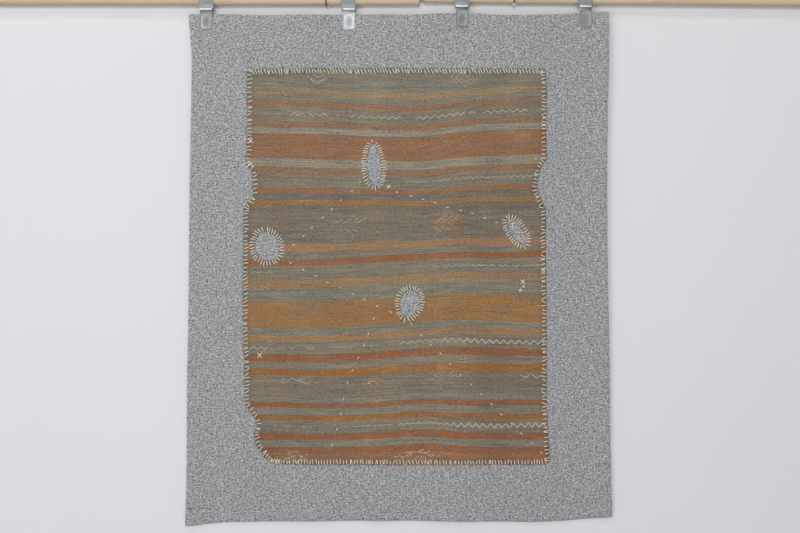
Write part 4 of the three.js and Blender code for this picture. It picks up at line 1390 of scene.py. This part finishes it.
def pole_length(name, start, end, joint, socket_rise):
    """A round length with eased ends, and a blind socket for the joiner at its joint end."""
    radius = settings().hanger.pole_radius
    middle = ((start + end) / 2, 0, 0)
    pole = round_bar(name, 72, radius, end - start, middle, POLE_EASE, 5)
    edit(pole)
    pick(pole, "FACE", lambda f: len(f.verts) > 8 and abs(f.calc_center_median().x - joint) < NEAR)
    bpy.ops.mesh.inset(thickness=radius - POLE_EASE - JOINER_RADIUS - SEAT_GAP)
    bpy.ops.transform.translate(value=(0, 0, socket_rise))
    inward = (JOINER_REACH + SEAT_GAP) * (-1 if joint == end else 1)
    bpy.ops.mesh.extrude_region_move(TRANSFORM_OT_translate={"value": (inward, 0, 0)})
    done()
    tidy_mesh(pole)
    return pole


def wire_loop():
    """A loop of wire round a pole at the origin, its two ends bent down side by side below it."""
    radius, wire, bend = settings().hanger.pole_radius + 1.7 * MM, 1.3 * MM, 1.6 * MM
    gap = math.asin((bend + wire + 0.05 * MM) / (radius + bend))
    y, z = math.sin(gap), -math.cos(gap)
    bpy.ops.mesh.primitive_circle_add(
        vertices=12, radius=wire, fill_type="NGON", location=(0, -radius * y, radius * z),
        rotation=(math.pi / 2 - gap, 0, 0),
    )
    loop = added("loop")
    edit(loop)
    bpy.ops.mesh.select_all(action="SELECT")
    bpy.ops.mesh.spin(steps=60, angle=2 * (math.pi - gap), center=(0, 0, 0), axis=(1, 0, 0))
    for side in (1, -1):
        pick(loop, "FACE", lambda f: len(f.verts) > 4 and side * f.calc_center_median().y > 0)
        middle = (0, side * (radius + bend) * y, (radius + bend) * z)
        bpy.ops.mesh.spin(steps=4, angle=-side * (math.pi / 2 - gap), center=middle, axis=(1, 0, 0))
        bpy.ops.mesh.extrude_region_move(TRANSFORM_OT_translate={"value": (0, 0, -2.4 * MM)})
    done()
    tidy_mesh(loop, 60)
    return loop


def right_axis(x):
    """The height of the right length's axis."""
    return POLE_STEP_UP - (x - POLE_RIGHT_END) * math.tan(POLE_FALL)


def make_pole():
    """Both lengths, their joiner, and a wire loop on each, the right one with a sleeve."""
    pine, wire = pine_finish(), wire_finish()
    half_step = POLE_STEP_UP / 2
    left = pole_length("pine_pole_left", -POLE_REACH, POLE_LEFT_END, POLE_LEFT_END, half_step)
    right = pole_length("pine_pole_right", 0.0, POLE_REACH - POLE_RIGHT_END, 0.0, -half_step)
    right.rotation_euler = (0, POLE_FALL, 0)
    right.location = (POLE_RIGHT_END, 0, POLE_STEP_UP)
    only(right)
    bpy.ops.object.transform_apply(location=True, rotation=True, scale=True)
    settle(left, pine, "pine", "pole_left")
    settle(right, pine, "pine", "pole_right")
    length = POLE_RIGHT_END - POLE_LEFT_END + 2 * JOINER_REACH
    middle = ((POLE_LEFT_END + POLE_RIGHT_END) / 2, 0, half_step)
    joiner = round_bar("white_joiner", 48, JOINER_RADIUS, length, middle, 0.8 * MM, 3)
    tidy_mesh(joiner)
    settle(joiner, paint_finish("white_paint"), "joiner", "pole_joiner")
    below = (LOOP_RIGHT, 0, right_axis(LOOP_RIGHT) - SLEEVE_DROP)
    sleeve = round_bar("loop_sleeve", 24, SLEEVE_RADIUS, SLEEVE_LENGTH, below, 0.8 * MM, 3, True)
    tidy_mesh(sleeve)
    settle(sleeve, paint_finish("white_sleeve"), "joiner")
    left_loop = wire_loop()
    right_loop = copied(left_loop)
    left_loop.name, right_loop.name = "wire_loop_left", "wire_loop_right"
    left_loop.data.transform(Matrix.Translation((LOOP_LEFT, 0, 0)))
    hung = Matrix.Translation((LOOP_RIGHT, 0, right_axis(LOOP_RIGHT)))
    right_loop.data.transform(hung @ Matrix.Rotation(POLE_FALL, 4, "Y"))
    settle(left_loop, wire, "loop_wire", "pole_loop_left")
    settle(right_loop, wire, "loop_wire", "pole_loop_right")


# Clips

STEEL = 1.2 * MM
# How bright the steel of each clip is painted: lit and shaded copies of one steel, brighter where a
# clip reflects more of the lamps
CLIP_LIT_TONES = (0.54, 0.85, 0.5, 0.68)
# Depths of the strap's two legs, and heights and sizes measured from the pole's axis
STRAP_FRONT, STRAP_BACK, STRAP_NECK = -2.6 * MM, 2.0 * MM, -21 * MM
STRAP_WIDTH, STRAP_FOOT, STRAP_BULGE = 32 * MM, -24.2 * MM, -1.8 * MM
GROOVE_HEIGHT, GROOVE_HALF_WIDTH = -6.6 * MM, 1.1 * MM
ROLL_RADIUS, ROLL_LENGTH = 2.2 * MM, 26 * MM
# Heights of the jaws from the hinge
JAW_WIDTH, JAW_TOP, JAW_FOOT = 27 * MM, -8 * MM, -45 * MM
PLATE_THICKNESS, PLATE_FOOT_CORNER, PLATE_TOP_CORNER = 2.4 * MM, 5 * MM, 1.8 * MM


def clip_strap():
    """The strap: a strip up the front, over the pole and down the back, with a pressed groove."""
    radius = settings().hanger.pole_radius + SEAT_GAP + STEEL / 2
    middle = (0, STRAP_FRONT, (STRAP_FOOT + STRAP_NECK) / 2)
    strap = upright_sheet("strap", middle, STRAP_WIDTH, STRAP_NECK - STRAP_FOOT)
    edit(strap)
    pick(strap, "EDGE", lambda e: abs(middle_of(e).z - STRAP_NECK) < NEAR)
    bpy.ops.transform.translate(value=(0, STRAP_BULGE, 0))
    leaves = math.radians(55)
    extrude_to(strap, radius * math.cos(math.pi + leaves), radius * math.sin(math.pi + leaves))
    bpy.ops.mesh.spin(steps=30, angle=math.pi + 2 * leaves, center=(0, 0, 0), axis=(1, 0, 0))
    extrude_to(strap, STRAP_BACK, STRAP_NECK)
    extrude_to(strap, STRAP_BACK, STRAP_FOOT)
    pick(strap, "VERT", lambda v: abs(v.co.z - STRAP_FOOT) < NEAR and v.co.y < 0)
    bpy.ops.mesh.bevel(offset=0.8 * MM, segments=3, affect="VERTICES")
    done()
    apply(strap, "SOLIDIFY", thickness=STEEL, offset=0.0)

    def in_groove(face):
        spot = face.calc_center_median()
        level = abs(spot.z - GROOVE_HEIGHT) < GROOVE_HALF_WIDTH
        return level and spot.yz.length > radius and spot.y < 0

    edit(strap)
    pick(strap, "FACE", in_groove)
    bpy.ops.mesh.inset(thickness=0.6 * MM, depth=-0.5 * MM)
    done()
    ease_edges(strap)
    tidy_mesh(strap)
    return strap


def clip_roll():
    """The rolled hinge at the origin: a hollow tube of sheet."""
    bpy.ops.mesh.primitive_cylinder_add(
        vertices=32, radius=ROLL_RADIUS, depth=ROLL_LENGTH, location=(0, STRAP_FRONT, 0),
        rotation=(0, math.pi / 2, 0),
    )
    roll = added("roll")
    edit(roll)
    pick(roll, "FACE", lambda f: len(f.verts) > 8)
    bpy.ops.mesh.inset(thickness=0.8 * MM, use_individual=True)
    bpy.ops.mesh.inset(thickness=0.1 * MM, depth=-3 * MM, use_individual=True)
    done()
    ease_edges(roll)
    tidy_mesh(roll)
    return roll


def jaw_sheet(name, depth):
    """The rectangle from which either jaw is shaped."""
    return upright_sheet(name, (0, depth, (JAW_TOP + JAW_FOOT) / 2), JAW_WIDTH, JAW_TOP - JAW_FOOT)


def clip_plate():
    """The front jaw below the hinge: a plate with a raised rim, two pips and a lip."""
    back = BACKING_FRONT - SEAT_GAP
    plate = jaw_sheet("plate", back)
    edit(plate)
    for height, corner in ((JAW_FOOT, PLATE_FOOT_CORNER), (JAW_TOP, PLATE_TOP_CORNER)):
        pick(plate, "VERT", lambda v: abs(v.co.z - height) < NEAR)
        bpy.ops.mesh.bevel(offset=corner, segments=4, affect="VERTICES")
    done()
    apply(plate, "SOLIDIFY", thickness=PLATE_THICKNESS, offset=1.0)
    edit(plate)
    pick(plate, "FACE", lambda f: f.normal.y < -0.9)
    bpy.ops.mesh.inset(thickness=1.3 * MM)
    bpy.ops.mesh.inset(thickness=0.9 * MM, depth=-0.9 * MM)
    done()
    ease_edges(plate, 0.45 * MM, 3, 32)
    pips = []
    for side in (-1, 1):
        bpy.ops.mesh.primitive_uv_sphere_add(
            segments=14, ring_count=8, radius=1.4 * MM,
            location=(side * 7.4 * MM, back - 1.6 * MM, JAW_TOP - 5.4 * MM), scale=(1, 0.6, 1),
        )
        pips.append(added("pip"))
    lip = upright_sheet("lip", (0, back - 0.5 * MM, JAW_TOP - 1 * MM), 22 * MM, 2 * MM)
    edit(lip)
    pick(lip, "EDGE", lambda e: abs(middle_of(e).z - JAW_TOP) < NEAR)
    for y, z in ((-0.3 * MM, JAW_TOP + 2.6 * MM), (-1.9 * MM, -2.5 * MM)):
        extrude_to(lip, y, z)
    done()
    apply(lip, "SOLIDIFY", thickness=1 * MM, offset=0.0)
    ease_edges(lip)
    plate = joined("plate", [plate, lip, *pips])
    tidy_mesh(plate, 30)
    return plate


def clip_back():
    """The back jaw: a flat strip behind the cloth, bent out to the strap's back leg."""
    jaw = jaw_sheet("back_jaw", BACKING_BACK + SEAT_GAP + STEEL / 2)
    edit(jaw)
    pick(jaw, "VERT", lambda v: abs(v.co.z - JAW_FOOT) < NEAR)
    bpy.ops.mesh.bevel(offset=3 * MM, segments=3, affect="VERTICES")
    pick(jaw, "EDGE", lambda e: abs(middle_of(e).z - JAW_TOP) < NEAR)
    for z in (JAW_TOP + 3 * MM, ROLL_RADIUS):
        extrude_to(jaw, STRAP_BACK, z)
    done()
    apply(jaw, "SOLIDIFY", thickness=STEEL, offset=0.0)
    ease_edges(jaw, 0.3 * MM)
    tidy_mesh(jaw)
    return jaw


def make_clips():
    """Each part of a clip is modelled once, and each clip takes a copy with a mesh of its own."""
    models = {"strap": ("band", clip_strap()), "roll": ("hinge", clip_roll()),
              "front_jaw": ("plate", clip_plate()), "back_jaw": ("rear_plate", clip_back())}
    # Painted highlight: the rolled hinge's steel is made near white and barely metallic, as the
    # bright light it catches. The strap's steel is a lighter, less metallic copy of the same steel,
    # as painted light.
    bright = steel_finish("hinge_steel", 2.2, metal=0.3)
    weft_rub_and_lit_strap = steel_finish("strap_steel", 1.27, metal=0.72)
    for number, (clip, tone) in enumerate(zip(CLIPS, CLIP_LIT_TONES), 1):
        hinge = (clip["hinge"] - clip["axis"]) * MM
        middle = ((clip["x"] + clip["slip"]) * MM, clip["hinge"] * MM + (JAW_TOP + JAW_FOOT) / 2)
        steel = steel_finish(f"clip_steel_{number}", tone, middle)
        hung = Matrix.Translation((clip["x"] * MM, 0, clip["axis"] * MM))
        hung = hung @ Matrix.Rotation(math.radians(clip["lean"]), 4, "Y")
        for node, (label, model) in models.items():
            piece = model if clip is CLIPS[-1] else copied(model)
            piece.name = f"clip_{number}_{label}"
            if node == "strap":
                move_feet(piece, hinge + ROLL_RADIUS + SEAT_GAP)
                fit = Matrix.Diagonal((clip["width"] * MM / STRAP_WIDTH, 1, 1, 1))
            else:
                fit = Matrix.Translation((clip["slip"] * MM, 0, hinge))
            piece.data.transform(hung @ fit)
            metal = {"roll": bright, "strap": weft_rub_and_lit_strap}.get(node, steel)
            settle(piece, metal, "clip_steel", f"clip_{number}_{node}")


def move_feet(strap, foot):
    """Makes both legs of a strap end at a height."""
    edit(strap)
    pick(strap, "VERT", lambda v: v.co.z < STRAP_FOOT + 1.2 * MM)
    bpy.ops.transform.translate(value=(0, 0, foot - STRAP_FOOT))
    done()


# Stage

# Lamps, named as their powers are: place, the point each is aimed at, width and height
LAMPS = {
    "key": ((-0.45, -5.2, 1.0), (0, 0, -0.6), 0.85, 1.1),
    "fill": ((-2.7, -4.2, -0.3), (0, 0, -0.6), 1.6, 1.6),
    "strip": ((-0.6, -2.6, 2.6), (0, 0, -0.3), 3.4, 0.6),
}
# How far the wall's middle stands behind the pole's axis, how far the wall leans back, in radians,
# and the floor's height
WALL_DEPTH, WALL_LEAN, FLOOR_HEIGHT = 11.5 * MM, 0.0116, -1.75
# The camera's lens and sensor in millimetres, and the width and middle height of its picture at
# the cloth
LENS, SENSOR = 50, 36
PICTURE_WIDTH, PICTURE_HEIGHT = 1.76, -0.594


def soft_light(name, place, aim, width, height, power):
    data = bpy.data.lights.new(name, "AREA")
    data.shape, data.size, data.size_y, data.energy = "RECTANGLE", width, height, power
    lamp = bpy.data.objects.new(name, data)
    lamp.location = place
    lamp.rotation_euler = (Vector(aim) - Vector(place)).to_track_quat("-Z", "Y").to_euler()
    bpy.context.scene.collection.objects.link(lamp)


def stage_finish(name, one_sided):
    """Plain pale paint. The wall is clear from behind, so that the cloth's back can be seen."""
    paint = Finish(name, Roughness=0.9)
    cloud = paint.noise(paint.spot(), 1.4, 2)
    wall = settings().stage.wall
    paint.finish(paint.ramp(cloud, [(0.3, tuple(c * 0.985 for c in wall)), (0.7, wall)]))
    if one_sided:
        output = next(n for n in paint.tree.nodes if n.type == "OUTPUT_MATERIAL")
        clear = paint.node("ShaderNodeBsdfTransparent", {}, {})
        behind = paint.node("ShaderNodeNewGeometry", {}, {}, "Backfacing")
        painted = Wire(paint, paint.shader.outputs[0])
        both = paint.node("ShaderNodeMixShader", {}, {0: behind, 1: painted, 2: clear})
        paint.tree.links.new(both.socket, output.inputs["Surface"])
    return paint.material


def make_stage():
    """The wall, which only the camera sees, the floor, the daylight, the lamps and the camera."""
    chosen = settings().stage
    scene = bpy.context.scene
    bpy.ops.mesh.primitive_plane_add(
        size=9, location=(0, WALL_DEPTH, -0.6), rotation=(math.pi / 2 - WALL_LEAN, 0, 0)
    )
    wall = added("wall")
    wall.data.materials.append(stage_finish("pale_wall", True))
    for ray in ("visible_diffuse", "visible_glossy", "visible_transmission", "visible_shadow"):
        setattr(wall, ray, False)
    bpy.ops.mesh.primitive_plane_add(size=14, location=(0, 0, FLOOR_HEIGHT))
    floor = added("floor")
    floor.data.materials.append(stage_finish("pale_floor", False))
    world = bpy.data.worlds.new("studio")
    world.use_nodes = True
    sky = world.node_tree.nodes["Background"]
    sky.inputs["Color"].default_value = (1.0, 0.99, 0.975, 1)
    sky.inputs["Strength"].default_value = chosen.daylight
    scene.world = world
    for name, lamp in LAMPS.items():
        soft_light(name, *lamp, getattr(chosen, name))
    camera = bpy.data.objects.new("camera", bpy.data.cameras.new("camera"))
    camera.data.sensor_width, camera.data.lens = SENSOR, LENS
    camera.data.clip_start, camera.data.clip_end = 0.05, 60
    camera.location = (0, -PICTURE_WIDTH * LENS / SENSOR, PICTURE_HEIGHT)
    camera.rotation_euler = (math.pi / 2, 0, 0)
    scene.collection.objects.link(camera)
    scene.camera = camera
    scene.view_settings.view_transform = "Standard"


# Operators and panel


class HUNGRUG_OT_stage(bpy.types.Operator):
    """Sets up the wall, the floor, the lights and the camera"""
    bl_idname = "hung_rug.stage"
    bl_label = "Stage"

    def execute(self, context):
        make_stage()
        return {"FINISHED"}


class HUNGRUG_OT_backing(bpy.types.Operator):
    """Hangs the grey cloth on its folds"""
    bl_idname = "hung_rug.backing"
    bl_label = "Grey Cloth"

    def execute(self, context):
        make_backing()
        return {"FINISHED"}


class HUNGRUG_OT_rug(bpy.types.Operator):
    """Lays the striped rug on the grey cloth"""
    bl_idname = "hung_rug.rug"
    bl_label = "Striped Rug"

    def execute(self, context):
        make_rug()
        return {"FINISHED"}


class HUNGRUG_OT_brocade(bpy.types.Operator):
    """Lays the zigzags and motifs in the rug"""
    bl_idname = "hung_rug.brocade"
    bl_label = "Brocade"

    def execute(self, context):
        make_brocade()
        return {"FINISHED"}


class HUNGRUG_OT_sewing(bpy.types.Operator):
    """Sews the rug to the grey cloth"""
    bl_idname = "hung_rug.sewing"
    bl_label = "Sewing"

    def execute(self, context):
        make_sewing()
        return {"FINISHED"}


class HUNGRUG_OT_wear(bpy.types.Operator):
    """Frays the rug's edges and drops dark specks on the grey cloth"""
    bl_idname = "hung_rug.wear"
    bl_label = "Wear"

    def execute(self, context):
        make_fray()
        make_specks()
        return {"FINISHED"}


class HUNGRUG_OT_pole(bpy.types.Operator):
    """Makes the two lengths of pole, their joiner and the wire loops"""
    bl_idname = "hung_rug.pole"
    bl_label = "Pole"

    def execute(self, context):
        make_pole()
        return {"FINISHED"}


class HUNGRUG_OT_clips(bpy.types.Operator):
    """Makes the steel clips"""
    bl_idname = "hung_rug.clips"
    bl_label = "Clips"

    def execute(self, context):
        make_clips()
        return {"FINISHED"}


OPERATORS = [
    HUNGRUG_OT_stage, HUNGRUG_OT_backing, HUNGRUG_OT_rug, HUNGRUG_OT_brocade,
    HUNGRUG_OT_sewing, HUNGRUG_OT_wear, HUNGRUG_OT_pole, HUNGRUG_OT_clips,
]


class HUNGRUG_PT_panel(bpy.types.Panel):
    """Lists the operators and the settings"""
    bl_idname = "HUNGRUG_PT_panel"
    bl_label = "Hung Rug"
    bl_space_type = "VIEW_3D"
    bl_region_type = "UI"
    bl_category = "Hung Rug"

    def draw(self, context):
        for operator in OPERATORS:
            self.layout.operator(operator.bl_idname)
        for group in ("dyes", "cloth", "hanger", "stage"):
            box = self.layout.box()
            values = getattr(context.scene.hung_rug, group)
            for name in values.bl_rna.properties.keys():
                if name not in {"rna_type", "name"}:
                    box.prop(values, name)


CLASSES = [
    RugDyes, ClothSettings, HangerSettings, StageSettings, HungRug, *OPERATORS, HUNGRUG_PT_panel,
]


def register():
    for cls in CLASSES:
        bpy.utils.register_class(cls)
    bpy.types.Scene.hung_rug = PointerProperty(type=HungRug)


def unregister():
    del bpy.types.Scene.hung_rug
    for cls in reversed(CLASSES):
        bpy.utils.unregister_class(cls)


def main():
    register()
    bpy.ops.hung_rug.stage()
    bpy.ops.hung_rug.backing()
    bpy.ops.hung_rug.rug()
    bpy.ops.hung_rug.brocade()
    bpy.ops.hung_rug.sewing()
    bpy.ops.hung_rug.wear()
    bpy.ops.hung_rug.pole()
    bpy.ops.hung_rug.clips()


if __name__ == "__main__":
    main()
